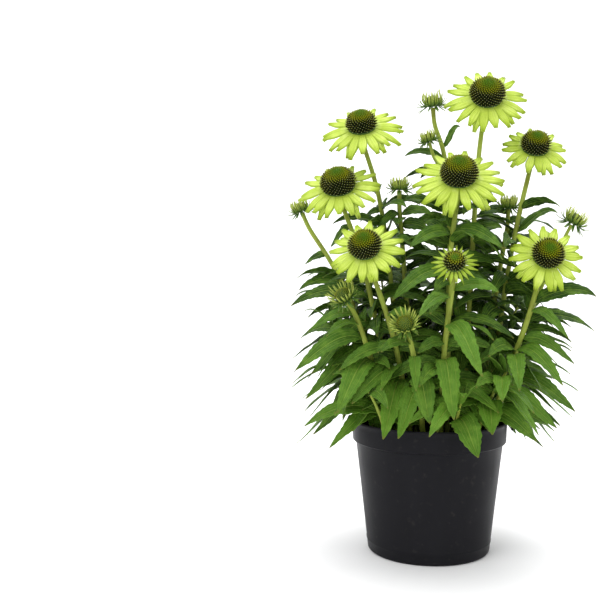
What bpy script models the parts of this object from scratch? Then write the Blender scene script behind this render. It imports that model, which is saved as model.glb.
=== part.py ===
"""A coneflower plant in a round plastic nursery pot, standing on the pot's underside.

X runs to the right, Y runs away from the front and Z runs up. The origin is the middle of
the pot's underside. Lengths are in millimetres, and meshes are made in metres.
"""
import math
import random

import bmesh
import bpy
from mathutils import Matrix, Vector
from mathutils.bvhtree import BVHTree

MM = 0.001
UP = Vector((0.0, 0.0, 1.0))
FRONT = Vector((0.0, -1.0, 0.0))
GAP = 0.3
GOLDEN_ANGLE = math.pi * (3.0 - math.sqrt(5.0))

# The pot: a tapered wall with a wider band at the rim
POT_HEIGHT = 138.0
POT_BASE_RADIUS = 63.5
POT_WALL_TOP_RADIUS = 76.3
POT_RIM_RADIUS = 81.0
POT_BAND_HEIGHT = 23.0
POT_WALL = 1.5
POT_FLOOR = 2.0
POT_SIDES = 32
HEEL = 3.0
LUG_WIDTH = 28.0
LUG_REACH = 4.5
LUG_HEIGHT = 9.0
HOLE_COUNT = 8
HOLE_RADIUS = 6.0
HOLE_SIDES = 8
HOLE_CIRCLE = 50.0

# The soil and the holes that the stems stand in
SOIL_LEVEL = 117.5
STEM_FOOT = 102.0
STRAIGHT_TOP = 124.0

# Stems
STEM_SIDES = 6
STEM_THICK = 3.0
BRANCH_THICK = 2.2
SHOOT_THICK = 2.5
STEM_TAPER = 0.78
STEM_TURN = math.radians(17.0)
STEM_REACH = 70.0
NECK_LENGTH = 24.0

# Blades
LEAF_THICKNESS = 0.9
PETAL_THICKNESS = 0.9
LEAF_KEEL = 0.16
LEAF_ROLL = math.radians(48.0)
PETAL_KEEL = -0.14
PETAL_WIDEST = 11.0
PETAL_WIDTH_SHARE = 0.90

# Flower heads
HUB_THICKNESS = 3.6
HUB_SHARE = 0.78
FLORET_LENGTH = 3.4
BRACT_REACH = math.radians(118.0)
DOME_REACH = math.radians(97.0)

# Each flower: middle of the petal ring, lift of its face above level, turn to the right,
# outer radius, cone radius, cone height, number of petals, number of florets
FLOWERS = {
    "top_right": ((57, 10, 472.5), 39, 4, 43.0, 19.5, 21.0, 18, 44),
    "top_left": ((-72, 5, 443), 52, -5, 44.0, 17.5, 19.0, 18, 42),
    "right_mid": ((108, 25, 421.5), 45, 8, 35.0, 17.0, 18.0, 16, 40),
    "centre": ((28, -35, 387), 46, 0, 46.5, 20.0, 23.0, 18, 46),
    "left": ((-93.5, -20, 379.5), 51, -8, 43.5, 20.0, 21.0, 18, 44),
    "lower_left": ((-62.5, -75, 316), 40, -6, 38.5, 17.5, 19.0, 16, 40),
    "right_lower": ((113.5, -45, 308.5), 31, 6, 37.0, 17.0, 18.0, 16, 40),
    "half_open": ((23, -95, 302), 35, 0, 22.5, 11.6, 11.0, 14, 30),
}

# Each bud: middle, lift of its face, turn to the right, radius, spike length, bracts
BUDS = {
    "top": ((1.5, 45, 471.5), 78, -25, 9.5, 4.5, 26),
    "side": ((-2.5, 30, 431.5), 70, -50, 7.0, 3.4, 22),
    "left_inner": ((-32.5, 10, 380), 82, 0, 8.2, 4.0, 24),
    "right_inner": ((82.5, 40, 361.5), 80, 10, 8.2, 4.4, 24),
    "right_outer": ((145.5, 5, 343.5), 60, 80, 9.5, 4.6, 26),
    "left_behind": ((-140, 30, 358), 66, -75, 8.2, 4.0, 24),
    "lower_left": ((-84, -70, 268.5), 48, -40, 9.0, 5.2, 26),
    "front": ((-23, -100, 244), 34, -10, 8.2, 5.6, 26),
}

# Each flowering stem: root in the soil and points it passes, on its way to the head of its name
STEMS = {
    "top_right": ((35, 15), ((49, 11, 415),)),
    "top_left": ((-25, 10), ((-42, 14, 290), (-50, 20, 350), (-59, 24, 391))),
    "right_mid": ((59, 20), ((86, 23, 324), (100, 25, 385))),
    "centre": ((19, -12), ((19, -25, 290), (22, -30, 335))),
    "left": ((-32, -5), ((-66, -14, 290), (-79, -17, 332))),
    "lower_left": ((-17, -28), ((-32, -51, 214), (-45, -62, 262))),
    "right_lower": ((59, -14), ((76, -25, 188), (90, -31, 222), (101, -36, 260))),
    "half_open": ((12, -34), ((12, -53, 175), (15, -71, 232))),
    "bud_top": ((25, 30), ((21, 38, 300), (16, 43, 421))),
    "bud_left_inner": ((-12, 22), ((-28, 14, 301), (-31, 12, 345))),
    "bud_right_inner": ((52, 32), ((70, 37, 270), (80, 40, 330))),
    "bud_left_behind": ((-36, 20), ((-72, 25, 235), (-108, 28, 306))),
    "bud_lower_left": ((-38, -26), ((-51, -45, 185), (-63, -54, 220))),
    "bud_front": ((-5, -40), ((-9, -66, 175), (-14, -82, 208))),
}

# Each branch: the stem that bears it, the height it leaves at, a point it passes, its bud
BRANCHES = (
    ("bud_top", 392.0, (3, 33, 412), "side"),
    ("right_lower", 212.0, (102, -8, 252), "right_outer"),
)

# Each leafy shoot without a flower: root and top
SHOOTS = {
    "right": ((64, 3), (104, 14, 252)),
    "right_front": ((44, -40), (74, -66, 196)),
    "left": ((-56, -2), (-98, -18, 240)),
    "left_front": ((-40, -46), (-62, -78, 182)),
    "back_middle": ((4, 58), (8, 90, 330)),
    "back_left": ((-36, 46), (-58, 84, 305)),
    "back_right": ((34, 54), (52, 92, 312)),
    "far_left": ((-58, 20), (-104, 44, 272)),
    "far_right": ((52, 46), (108, 66, 280)),
    "front": ((24, -58), (30, -84, 168)),
}

# Leaves set by hand: node, height of the root, tip, width
PLACED_LEAVES = (
    ("stem_bud_left_behind", 306, (-135, 30, 298), 10),
    ("stem_bud_left_behind", 277, (-138, 5, 271), 15),
    ("stem_left", 262, (-142, -28, 256), 15),
    ("stem_bud_lower_left", 249, (-120, -62, 232), 10),
    ("stem_bud_lower_left", 238, (-98, -95, 231), 10),
    ("stem_bud_lower_left", 224, (-130, -80, 196), 17),
    ("stem_left", 236, (-119, -45, 188), 15),
    ("stem_left", 208, (-124, -50, 163), 18),
    ("stem_bud_lower_left", 201, (-86, -112, 160), 21),
    ("stem_left", 173, (-118, -35, 124), 19),
    ("stem_bud_lower_left", 148, (-98, -66, 117), 16),
    ("stem_lower_left", 191, (-73, -100, 167), 18),
    ("stem_lower_left", 181, (-43, -106, 135), 21),
    ("stem_bud_front", 174, (-29, -101, 135), 17),
    ("stem_bud_front", 187, (1, -112, 152), 19),
    ("stem_half_open", 204, (23, -118, 157), 19),
    ("shoot_front", 148, (46, -106, 120), 23),
    ("shoot_right_front", 162, (59, -101, 141), 21),
    ("stem_half_open", 151, (8, -90, 140), 13),
    ("stem_half_open", 239, (48, -128, 199), 17),
    ("stem_bud_front", 209, (-12, -118, 183), 10),
    ("stem_bud_front", 222, (-45, -110, 218), 11),
    ("stem_half_open", 222, (-11, -88, 215), 12),
    ("stem_half_open", 266, (-10, -120, 252), 12),
    ("stem_half_open", 274, (64, -92, 274), 13),
    ("stem_centre", 288, (-36, -78, 265), 17),
    ("stem_centre", 328, (-20, -62, 316), 14),
    ("stem_centre", 331, (70, -60, 315), 14),
    ("stem_right_mid", 331, (130, 14, 352), 13),
    ("stem_bud_right_inner", 343, (106, 48, 342), 10),
    ("stem_right_lower", 261, (162, -34, 268), 15),
    ("stem_right_lower", 242, (163, -20, 233), 14),
    ("stem_right_lower", 252, (131, -70, 230), 11),
    ("stem_right_lower", 224, (141, -42, 202), 14),
    ("stem_right_lower", 213, (125, -82, 186), 16),
    ("stem_right_lower", 205, (95, -104, 183), 16),
    ("shoot_right", 208, (124, -22, 191), 12),
    ("shoot_right_front", 188, (67, -112, 174), 15),
    ("shoot_right", 178, (145, -25, 152), 18),
    ("shoot_right_front", 172, (123, -58, 141), 21),
    ("shoot_right_front", 152, (102, -78, 131), 18),
    ("stem_bud_top", 412, (-28, 36, 414), 9),
    ("stem_bud_top", 424, (31, 50, 446), 8),
    ("stem_left", 336, (-103, -8, 317), 12),
    ("stem_top_left", 354, (-75, 26, 344), 10),
    ("stem_bud_left_inner", 351, (-56, -8, 332), 10),
    ("stem_centre", 349, (38, -8, 353), 9),
    ("stem_bud_top", 352, (-32, 30, 364), 15),
    ("stem_bud_right_inner", 352, (50, 30, 350), 12),
    ("stem_right_mid", 314, (108, 6, 301), 13),
)

# Leaves set by rule: lowest root, space between roots, lengths and widths
LEAF_LOWEST = 140.0
LEAF_SPACING = 36.0
LEAF_HEAD_ROOM = 60.0
LEAF_LONG = 88.0
LEAF_SHORT = 44.0
LEAF_WIDTH_SHARE = 0.29
SHOOT_SPACING = 22.0
SHOOT_LOWEST = 150.0

# A leaf that meets something is turned, lifted and shortened by these steps
TURNS = (0, 9, -9, 18, -18, 28, -28, 40, -40, 55, -55)
LIFTS = (0, 9, -9, 18)
SHRINKS = (1.0, 0.88, 0.76, 0.64)
CLEAR_THICKNESS = 2.6
CLEAR_MARGIN = 1.6
LEAF_FLOOR = 100.0

# Along a leaf, whose two ends are pointed: share of its length, of its width, wave of its edges
LEAF_STATIONS = (
    (0.0, 0.0, 0.0),
    (0.31, 1.0, 0.06),
    (0.48, 0.84, -0.08),
    (0.64, 0.84, 0.08),
    (1.0, 0.0, 0.0),
)
SMALL_LEAF = 48.0
SMALL_LEAF_STATIONS = (
    (0.0, 0.0, 0.0),
    (0.36, 1.0, 0.08),
    (0.60, 0.72, -0.08),
    (1.0, 0.0, 0.0),
)
# Along a petal: share of its length, share of its width, pull of the middle
PETAL_STATIONS = (
    (0.0, 0.27, 0.0),
    (0.60, 1.0, 0.0),
    (1.0, 0.66, -0.07),
)


def smooth_path(points, steps=10):
    """Points along a smooth curve that passes through the given ones."""
    points = [Vector(point) for point in points]
    last = len(points) - 1
    path = []
    for i in range(last):
        start, end = points[i], points[i + 1]
        reach = (end - start).length
        leave = (end - points[max(i - 1, 0)]).normalized() * reach
        arrive = (points[min(i + 2, last)] - start).normalized() * reach
        for k in range(steps):
            t = k / steps
            path.append(
                start * (2 * t**3 - 3 * t**2 + 1)
                + leave * (t**3 - 2 * t**2 + t)
                + end * (3 * t**2 - 2 * t**3)
                + arrive * (t**3 - t**2)
            )
    path.append(points[-1])
    return path


def thin_out(path):
    """Drop points where the path is nearly straight, past its first two."""
    kept = path[:2]
    heading = path[1] - path[0]
    for i in range(2, len(path) - 1):
        ahead = path[i + 1] - path[i]
        far = (path[i] - kept[-1]).length
        if heading.angle(ahead) > STEM_TURN or far > STEM_REACH:
            kept.append(path[i])
            heading = ahead
    kept.append(path[-1])
    return kept


def point_at_height(path, height):
    """The first point of the path at a height."""
    for low, high in zip(path, path[1:]):
        if low.z <= height <= high.z:
            return low.lerp(high, (height - low.z) / (high.z - low.z))
    return path[-1].copy()


def tube(path, thick, thin):
    """A closed tube along a path, as corners and faces."""
    corners = []
    faces = []
    last = len(path) - 1
    side = Vector((1.0, 0.0, 0.0))
    for i, point in enumerate(path):
        ahead = (path[min(i + 1, last)] - path[max(i - 1, 0)]).normalized()
        side = (side - ahead * side.dot(ahead)).normalized()
        other = ahead.cross(side)
        radius = thick + (thin - thick) * i / last
        for k in range(STEM_SIDES):
            angle = 2 * math.pi * k / STEM_SIDES
            corners.append(point + (side * math.cos(angle) + other * math.sin(angle)) * radius)
    for i in range(last):
        for k in range(STEM_SIDES):
            a = i * STEM_SIDES + k
            b = i * STEM_SIDES + (k + 1) % STEM_SIDES
            c, d = b + STEM_SIDES, a + STEM_SIDES
            faces += [(a, b, c), (a, c, d)]
    top = last * STEM_SIDES
    faces.append(tuple(reversed(range(STEM_SIDES))))
    faces.append(tuple(range(top, top + STEM_SIDES)))
    return corners, faces


def blade(rows, thickness, open_root=False):
    """A thin closed blade through rows of points from its left edge to its right edge.

    Each row is (points, normal). A first or last row of one point ends the blade in a tip.
    Both faces are split along the same diagonals.
    """
    corners = []
    faces = []
    starts = []
    for points, normal in rows:
        starts.append(len(corners))
        corners += [point + normal * thickness / 2 for point in points]
        corners += [point - normal * thickness / 2 for point in points]
    if not open_root:
        faces += [tuple(reversed(face)) for face in cap_faces(starts[0], len(rows[0][0]))]
    for i in range(len(rows) - 1):
        faces += span_faces(starts[i], len(rows[i][0]), starts[i + 1], len(rows[i + 1][0]))
    return corners, faces + cap_faces(starts[-1], len(rows[-1][0]))


def cap_faces(first, count):
    """The faces across a blade's end, facing forward."""
    faces = []
    for k in range(first, first + count - 1):
        faces += [(k, k + 1, k + count + 1), (k, k + count + 1, k + count)]
    return faces


def span_faces(near, near_count, far, far_count):
    """The faces of a blade between two rows: both broad faces and both edges."""
    faces = []
    i = j = 0
    while i < near_count - 1 or j < far_count - 1:
        if i < near_count - 1 and (i + 1) * (far_count - 1) <= (j + 1) * (near_count - 1):
            top = (near + i, near + i + 1, far + j)
            under = (near + near_count + i, far + far_count + j, near + near_count + i + 1)
            i += 1
        else:
            top = (near + i, far + j + 1, far + j)
            under = (near + near_count + i, far + far_count + j, far + far_count + j + 1)
            j += 1
        faces += [top, under]
    left, left_far = near, far
    right, right_far = near + near_count - 1, far + far_count - 1
    faces += [(left, left_far, left_far + far_count), (left, left_far + far_count, left + near_count)]
    faces += [(right, right + near_count, right_far + far_count)]
    faces += [(right, right_far + far_count, right_far)]
    return faces


def leaf_curve(base, tip, t):
    """Point and heading at a share of the way along an arching leaf."""
    level = Vector((tip.x - base.x, tip.y - base.y, 0.0)).normalized()
    reach = (tip - base).length
    first = base + level * reach * 0.30 + UP * reach * 0.20
    second = tip - level * reach * 0.28 + UP * reach * 0.22
    s = 1.0 - t
    point = base * s**3 + first * 3 * s * s * t + second * 3 * s * t * t + tip * t**3
    ahead = (first - base) * s * s + (second - first) * 2 * s * t + (tip - second) * t * t
    return point, ahead.normalized()


def leaf_rows(leaf, margin=0.0):
    """The rows of points of a leaf's blade, widened by a margin."""
    base, tip, width, face = leaf
    level = Vector((tip.y - base.y, base.x - tip.x, 0.0)).normalized()
    roll = LEAF_ROLL * level.dot(face)
    side = level * math.cos(roll) - UP * math.sin(roll)
    rows = []
    stations = SMALL_LEAF_STATIONS if (tip - base).length < SMALL_LEAF else LEAF_STATIONS
    for share, wide, wave in stations:
        point, ahead = leaf_curve(base, tip, share)
        normal = side.cross(ahead).normalized()
        if wide == 0.0:
            rows.append(([point], normal))
            continue
        half = (width * wide + margin) / 2
        left = point - side * half + normal * half * (LEAF_KEEL + wave)
        right = point + side * half + normal * half * (LEAF_KEEL - wave)
        rows.append(([left, point, right], normal))
    return rows


def leaf_shape(leaf):
    """A leaf's blade."""
    return blade(leaf_rows(leaf), LEAF_THICKNESS)


def face_matrix(at, lift, turn):
    """The place of a flower's face, with local Z along its axis."""
    lift = math.radians(lift)
    turn = math.radians(turn)
    level = Vector((math.sin(turn), -math.cos(turn), 0.0))
    axis = level * math.cos(lift) + UP * math.sin(lift)
    side = UP.cross(axis).normalized()
    back = axis.cross(side)
    turned = Matrix((side, back, axis)).transposed().to_4x4()
    return Matrix.Translation(Vector(at)) @ turned


def placed(shape, matrix):
    """A shape moved by a matrix."""
    corners, faces = shape
    return [matrix @ corner for corner in corners], faces


def ring_shape(flower, seed):
    """A flat hub with its petals, as one closed body.

    The hub is a low double cone whose edge is as thick as a petal. Each petal grows out of
    three points of that edge, and every second petal lies a little lower.
    """
    at, lift, turn, outer, cone, _, count, _ = flower
    chance = random.Random(seed)
    inner = cone * HUB_SHARE
    middle_radius = inner + (outer - inner) * PETAL_STATIONS[1][0]
    width = min(PETAL_WIDEST, 2 * math.pi * middle_radius / count * PETAL_WIDTH_SHARE)
    corners = [Vector((0.0, 0.0, 0.0)), Vector((0.0, 0.0, -HUB_THICKNESS))]
    faces = []
    per_petal = 6 * len(PETAL_STATIONS)
    for i in range(count):
        around = 2 * math.pi * (i + chance.uniform(-0.05, 0.05)) / count
        droop = math.tan(math.radians(8.0 + 9.0 * (i % 2) + chance.uniform(-1.5, 1.5)))
        length = (outer - inner) * chance.uniform(0.93, 1.03)
        ray = Vector((math.cos(around), math.sin(around), 0.0))
        side = Vector((math.sin(around), -math.cos(around), 0.0))
        rows = []
        for share, wide, pull in PETAL_STATIONS:
            reach = length * share
            drop = droop * reach * (0.25 + 0.75 * share)
            point = ray * (inner + reach) - UP * (HUB_THICKNESS / 2 + drop)
            half = width * wide / 2
            edge = UP * half * PETAL_KEEL * share
            middle = point + ray * length * pull
            normal = (UP + ray * droop * share).normalized()
            rows.append(([point - side * half + edge, middle, point + side * half + edge], normal))
        petal_corners, petal_faces = blade(rows, PETAL_THICKNESS, open_root=True)
        first = len(corners)
        after = 2 + (i - 1) % count * per_petal
        corners += petal_corners
        faces += [tuple(first + k for k in face) for face in petal_faces]
        faces += [(0, first + 1, first), (0, first + 2, first + 1), (0, after, first + 2)]
        faces += [(1, first + 3, first + 4), (1, first + 4, first + 5), (1, first + 5, after + 3)]
        faces += [(first + 2, after, after + 3), (first + 2, after + 3, first + 5)]
    return placed((corners, faces), face_matrix(at, lift, turn))


def spiked_dome(radius, height, spike, count, reach, matrix):
    """A dome of pyramids on a golden spiral, flat underneath.

    The hull of the spiral's directions says which pyramids are neighbours. Where three of
    them meet there is a valley point.
    """
    hull = bmesh.new()
    for i in range(count):
        polar = math.acos(1.0 - (i + 0.5) / count * (1.0 - math.cos(reach)))
        around = i * GOLDEN_ANGLE
        ring = math.sin(polar)
        hull.verts.new((ring * math.cos(around), ring * math.sin(around), math.cos(polar)))
    underside = hull.verts.new((0.0, 0.0, -1.0))
    bmesh.ops.convex_hull(hull, input=hull.verts)
    bmesh.ops.triangulate(hull, faces=hull.faces)
    hull.normal_update()
    hull.verts.index_update()
    hull.faces.index_update()
    floor = height * math.cos(reach)

    def on_dome(way):
        point = Vector((way.x * radius, way.y * radius, way.z * height))
        point.z = max(point.z, floor)
        return point

    corners = []
    for vert in hull.verts:
        if vert == underside:
            corners.append(Vector((0.0, 0.0, floor)))
            continue
        outward = Vector((vert.co.x, vert.co.y, vert.co.z + 0.35)).normalized()
        tip = on_dome(vert.co) + outward * spike
        tip.z = max(tip.z, floor + spike * 0.4)
        corners.append(tip)
    first_valley = len(corners)
    for face in hull.faces:
        corners.append(on_dome(face.calc_center_median().normalized()))
    faces = []
    for edge in hull.edges:
        one, two = edge.link_faces
        start, end = edge.verts
        if not runs_along(one, start, end):
            one, two = two, one
        a = first_valley + one.index
        b = first_valley + two.index
        faces.append((start.index, b, a))
        faces.append((end.index, a, b))
    hull.free()
    return placed((corners, faces), matrix)


def runs_along(face, start, end):
    """Whether the face's outline passes from start to end."""
    loop = list(face.verts)
    return loop[(loop.index(start) + 1) % len(loop)] == end


def cone_shape(flower):
    """The cone of florets that stands on a flower's hub."""
    at, lift, turn, _, radius, height, _, count = flower
    floor = height * math.cos(DOME_REACH)
    raised = face_matrix(at, lift, turn) @ Matrix.Translation((0, 0, GAP - floor))
    spike = min(FLORET_LENGTH, radius * 0.22)
    return spiked_dome(radius - spike * 0.6, height - spike, spike, count, DOME_REACH, raised)


def bud_shape(bud):
    """A bud of pointed bracts."""
    at, lift, turn, radius, spike, count = bud
    return spiked_dome(radius, radius, spike, count, BRACT_REACH, face_matrix(at, lift, turn))


def bud_seat(bud):
    """Where a bud's stem ends, and the bud's axis."""
    at, lift, turn, radius, _, _ = bud
    axis = face_matrix(at, lift, turn).col[2].to_3d()
    return Vector(at) + axis * (radius * math.cos(BRACT_REACH) - GAP), axis


def flower_seat(flower):
    """Where a flower's stem ends, and the flower's axis."""
    at, lift, turn = flower[:3]
    axis = face_matrix(at, lift, turn).col[2].to_3d()
    return Vector(at) - axis * (HUB_THICKNESS + GAP), axis


def head_seat(name):
    """Where the stem of a flower or a bud ends, and the way it faces there."""
    if name.startswith("bud_"):
        return bud_seat(BUDS[name.removeprefix("bud_")])
    return flower_seat(FLOWERS[name])


def stem_path(name):
    """A stem's path from its foot in the soil to the head it carries."""
    root, way = STEMS[name]
    seat, axis = head_seat(name)
    foot = Vector((root[0], root[1], STEM_FOOT))
    straight = Vector((root[0], root[1], STRAIGHT_TOP))
    neck = [seat - axis * NECK_LENGTH * share for share in (1.0, 0.4)]
    return thin_out([foot] + smooth_path([straight, *way, *neck, seat]))


def shoot_path(name):
    """A leafy shoot's path, leaning outward as it rises."""
    root, top = SHOOTS[name]
    foot = Vector((root[0], root[1], STEM_FOOT))
    straight = Vector((root[0], root[1], STRAIGHT_TOP))
    top = Vector(top)
    bend = straight.lerp(top, 0.45) + UP * (top.z - straight.z) * 0.12
    return thin_out([foot] + smooth_path([straight, bend, top]))


def branch_path(main, height, way, bud):
    """A branch's path from its stem to the bud it carries."""
    seat, axis = bud_seat(BUDS[bud])
    neck = seat - axis * NECK_LENGTH * 0.5
    return thin_out(smooth_path([point_at_height(main, height), way, neck, seat]))


def main_paths():
    """The path of every stem and shoot, by node."""
    paths = {"stem_" + name: stem_path(name) for name in STEMS}
    paths.update({"shoot_" + name: shoot_path(name) for name in SHOOTS})
    return paths


def tubes_by_node(paths):
    """The tubes of each stem and shoot, with their branches."""
    tubes = {}
    for node, path in paths.items():
        thick = STEM_THICK if node.startswith("stem_") else SHOOT_THICK
        tubes[node] = [tube(path, thick, thick * STEM_TAPER)]
    for stem, height, way, bud in BRANCHES:
        path = branch_path(paths["stem_" + stem], height, way, bud)
        tubes["stem_" + stem].append(tube(path, BRANCH_THICK, BRANCH_THICK * STEM_TAPER))
    return tubes


class Crowd:
    """The shapes that are placed so far, which a new leaf has to clear."""

    def __init__(self):
        self.members = []

    def add(self, shape, owner="", is_leaf=False):
        corners, faces = shape
        low = [min(corner[i] for corner in corners) for i in range(3)]
        high = [max(corner[i] for corner in corners) for i in range(3)]
        self.members.append((low, high, BVHTree.FromPolygons(corners, faces), owner, is_leaf))

    def clears(self, shape, owner, own_leaves=False):
        """Whether a shape meets nothing of another owner, or none of its owner's leaves."""
        corners, faces = shape
        low = [min(corner[i] for corner in corners) for i in range(3)]
        high = [max(corner[i] for corner in corners) for i in range(3)]
        tree = BVHTree.FromPolygons(corners, faces)
        for other_low, other_high, other, other_owner, is_leaf in self.members:
            wanted = is_leaf and other_owner == owner if own_leaves else other_owner != owner
            if not wanted:
                continue
            if any(low[i] > other_high[i] or high[i] < other_low[i] for i in range(3)):
                continue
            if tree.overlap(other):
                return False
        return True


def fit_leaf(crowd, node, base, tip, width, face):
    """The nearest leaf to the wanted one that meets nothing, or None."""
    arm = tip - base
    level = Vector((arm.x, arm.y, 0.0))
    tilt_axis = Vector((level.y, -level.x, 0.0)).normalized()
    for shrink in SHRINKS:
        for lift in LIFTS:
            for turn in TURNS:
                raised = Matrix.Rotation(math.radians(lift), 3, tilt_axis) @ arm
                turned = Matrix.Rotation(math.radians(turn), 3, "Z") @ raised
                leaf = (base, base + turned * shrink, width * math.sqrt(shrink), face)
                rows = leaf_rows(leaf, CLEAR_MARGIN)
                whole = blade(rows, CLEAR_THICKNESS)
                outer = blade(rows[1:], CLEAR_THICKNESS)
                if lowest(whole) < LEAF_FLOOR or not crowd.clears(whole, node):
                    continue
                if crowd.clears(outer, node, own_leaves=True):
                    return leaf
    return None


def lowest(shape):
    """The height of a shape's lowest corner."""
    return min(corner.z for corner in shape[0])


def wanted_by_rule(node, path, chance):
    """Leaves up a stem on a golden spiral, shorter and steeper towards the top."""
    shoot = node.startswith("shoot_")
    low = SHOOT_LOWEST if shoot else LEAF_LOWEST
    high = path[-1].z - (0.0 if shoot else LEAF_HEAD_ROOM)
    spacing = SHOOT_SPACING if shoot else LEAF_SPACING
    around = chance.uniform(0.0, 2 * math.pi)
    height = low
    wanted = []
    while height < high:
        share = (height - low) / max(high - low, spacing)
        length = LEAF_LONG + (LEAF_SHORT - LEAF_LONG) * share
        length *= chance.uniform(0.85, 1.1)
        rise = math.radians(-32.0 + 36.0 * share + chance.uniform(-9.0, 9.0))
        base = point_at_height(path, height)
        level = Vector((math.cos(around), math.sin(around), 0.0))
        tip = base + level * length * math.cos(rise) + UP * length * math.sin(rise)
        outward = Vector((base.x, base.y, 0.0)).normalized()
        wanted.append((base, tip, length * LEAF_WIDTH_SHARE, outward))
        around += GOLDEN_ANGLE
        height += spacing
    return wanted


def place_leaves(paths, crowd):
    """Every leaf that finds room, by node."""
    leaves = {node: [] for node in paths}

    def grow(node, base, tip, width, face):
        leaf = fit_leaf(crowd, node, base, tip, width, face)
        if leaf:
            leaves[node].append(leaf)
            crowd.add(leaf_shape(leaf), node, is_leaf=True)

    for node, height, tip, width in PLACED_LEAVES:
        grow(node, point_at_height(paths[node], height), Vector(tip), width, FRONT)
    for seed, node in enumerate(sorted(paths)):
        for wanted in wanted_by_rule(node, paths[node], random.Random(seed)):
            grow(node, *wanted)
    return leaves


def pot_profile():
    """The pot's turned outline, from the middle underneath to the middle of its floor."""
    band = POT_HEIGHT - POT_BAND_HEIGHT
    inner_top = POT_WALL_TOP_RADIUS - POT_WALL
    return [
        (0.0, 0.0),
        (POT_BASE_RADIUS - HEEL * 0.8, 0.0),
        (POT_BASE_RADIUS, HEEL),
        (POT_WALL_TOP_RADIUS, band),
        (POT_RIM_RADIUS - 1.4, band + 1.0),
        (POT_RIM_RADIUS - 0.6, POT_HEIGHT - 3.0),
        (POT_RIM_RADIUS, POT_HEIGHT - 1.8),
        (POT_RIM_RADIUS - 0.6, POT_HEIGHT),
        (POT_RIM_RADIUS - 2.2, POT_HEIGHT),
        (POT_RIM_RADIUS - 1.4 - POT_WALL, band + 2.4),
        (inner_top, band - 1.0),
        (POT_BASE_RADIUS - POT_WALL, HEEL + 1.0),
        (POT_BASE_RADIUS - HEEL - 1.4, POT_FLOOR),
        (0.0, POT_FLOOR),
    ]


def soil_profile():
    """The outline of the soil, from underneath along the pot's wall, to its surface."""
    band = POT_HEIGHT - POT_BAND_HEIGHT
    inner_top = POT_WALL_TOP_RADIUS - POT_WALL
    outline = [
        (0.0, POT_FLOOR + GAP),
        (POT_BASE_RADIUS - HEEL - 1.9, POT_FLOOR + GAP),
        (POT_BASE_RADIUS - POT_WALL - 0.5, HEEL + 1.5),
        (inner_top - 0.4, band - 0.6),
        (inner_top - 0.1, SOIL_LEVEL),
    ]
    return outline + [(0.0, SOIL_LEVEL)]


def pot_and_soil_room():
    """The room that the soil and the pot's band and lugs take, as one turned shape."""
    inside = POT_RIM_RADIUS - 4.0
    outside = POT_RIM_RADIUS + LUG_REACH
    surface = SOIL_LEVEL + 2.0
    outline = [
        (0.0, STEM_FOOT),
        (outside, STEM_FOOT),
        (outside, POT_HEIGHT + 1.0),
        (inside, POT_HEIGHT + 1.0),
        (inside, surface),
        (0.0, surface),
    ]
    corners = []
    faces = []
    for k in range(POT_SIDES):
        angle = 2 * math.pi * k / POT_SIDES
        corners += [Vector((r * math.cos(angle), r * math.sin(angle), z)) for r, z in outline]
    count = len(outline)
    for k in range(POT_SIDES):
        a = k * count
        b = (k + 1) % POT_SIDES * count
        faces += [(a + i, b + i, b + i + 1, a + i + 1) for i in range(count - 1)]
    return corners, faces


def turned(outline):
    """A closed body spun around Z from an outline that starts and ends on the axis."""
    body = bmesh.new()
    verts = [body.verts.new((radius * MM, 0.0, z * MM)) for radius, z in outline]
    edges = [body.edges.new(pair) for pair in zip(verts, verts[1:])]
    bmesh.ops.spin(
        body,
        geom=verts + edges,
        axis=(0.0, 0.0, 1.0),
        cent=(0.0, 0.0, 0.0),
        angle=2 * math.pi,
        steps=POT_SIDES,
        use_merge=True,
    )
    bmesh.ops.remove_doubles(body, verts=body.verts, dist=1e-6)
    bmesh.ops.recalc_face_normals(body, faces=body.faces)
    return body


def material(name, colour, roughness):
    """A plain Principled material. Its colour is linear red, green and blue."""
    made = bpy.data.materials.get(name)
    if made is None:
        made = bpy.data.materials.new(name)
        made.use_nodes = True
        shader = made.node_tree.nodes["Principled BSDF"]
        shader.inputs["Base Color"].default_value = (*colour, 1.0)
        shader.inputs["Roughness"].default_value = roughness
        shader.inputs["Metallic"].default_value = 0.0
        made.diffuse_color = (*colour, 1.0)
    return made


def new_object(name, mesh, surface=None):
    """An object in the scene, with its material."""
    made = bpy.data.objects.new(name, mesh)
    bpy.context.scene.collection.objects.link(made)
    if surface:
        mesh.materials.append(surface)
    return made


def mesh_from_shape(name, shape):
    """A triangulated mesh in metres from a shape in millimetres."""
    corners, faces = shape
    body = bmesh.new()
    verts = [body.verts.new(corner * MM) for corner in corners]
    for face in faces:
        body.faces.new([verts[i] for i in face])
    bmesh.ops.triangulate(body, faces=body.faces)
    mesh = bpy.data.meshes.new(name)
    body.to_mesh(mesh)
    body.free()
    return mesh


def mesh_from_body(name, body):
    """A mesh from an edit body, which is freed."""
    mesh = bpy.data.meshes.new(name)
    body.to_mesh(mesh)
    body.free()
    return mesh


def combine(body, tools, operation):
    """Apply one Boolean of an object with all its tools, and remove the tools."""
    if not tools:
        return
    group = bpy.data.collections.new(body.name + "_tools")
    bpy.context.scene.collection.children.link(group)
    for tool in tools:
        bpy.context.scene.collection.objects.unlink(tool)
        group.objects.link(tool)
    boolean = body.modifiers.new("Combine", "BOOLEAN")
    boolean.operation = operation
    boolean.operand_type = "COLLECTION"
    boolean.collection = group
    with bpy.context.temp_override(object=body, active_object=body):
        bpy.ops.object.modifier_apply(modifier=boolean.name)
    for tool in tools:
        bpy.data.objects.remove(tool)
    bpy.data.collections.remove(group)


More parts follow.
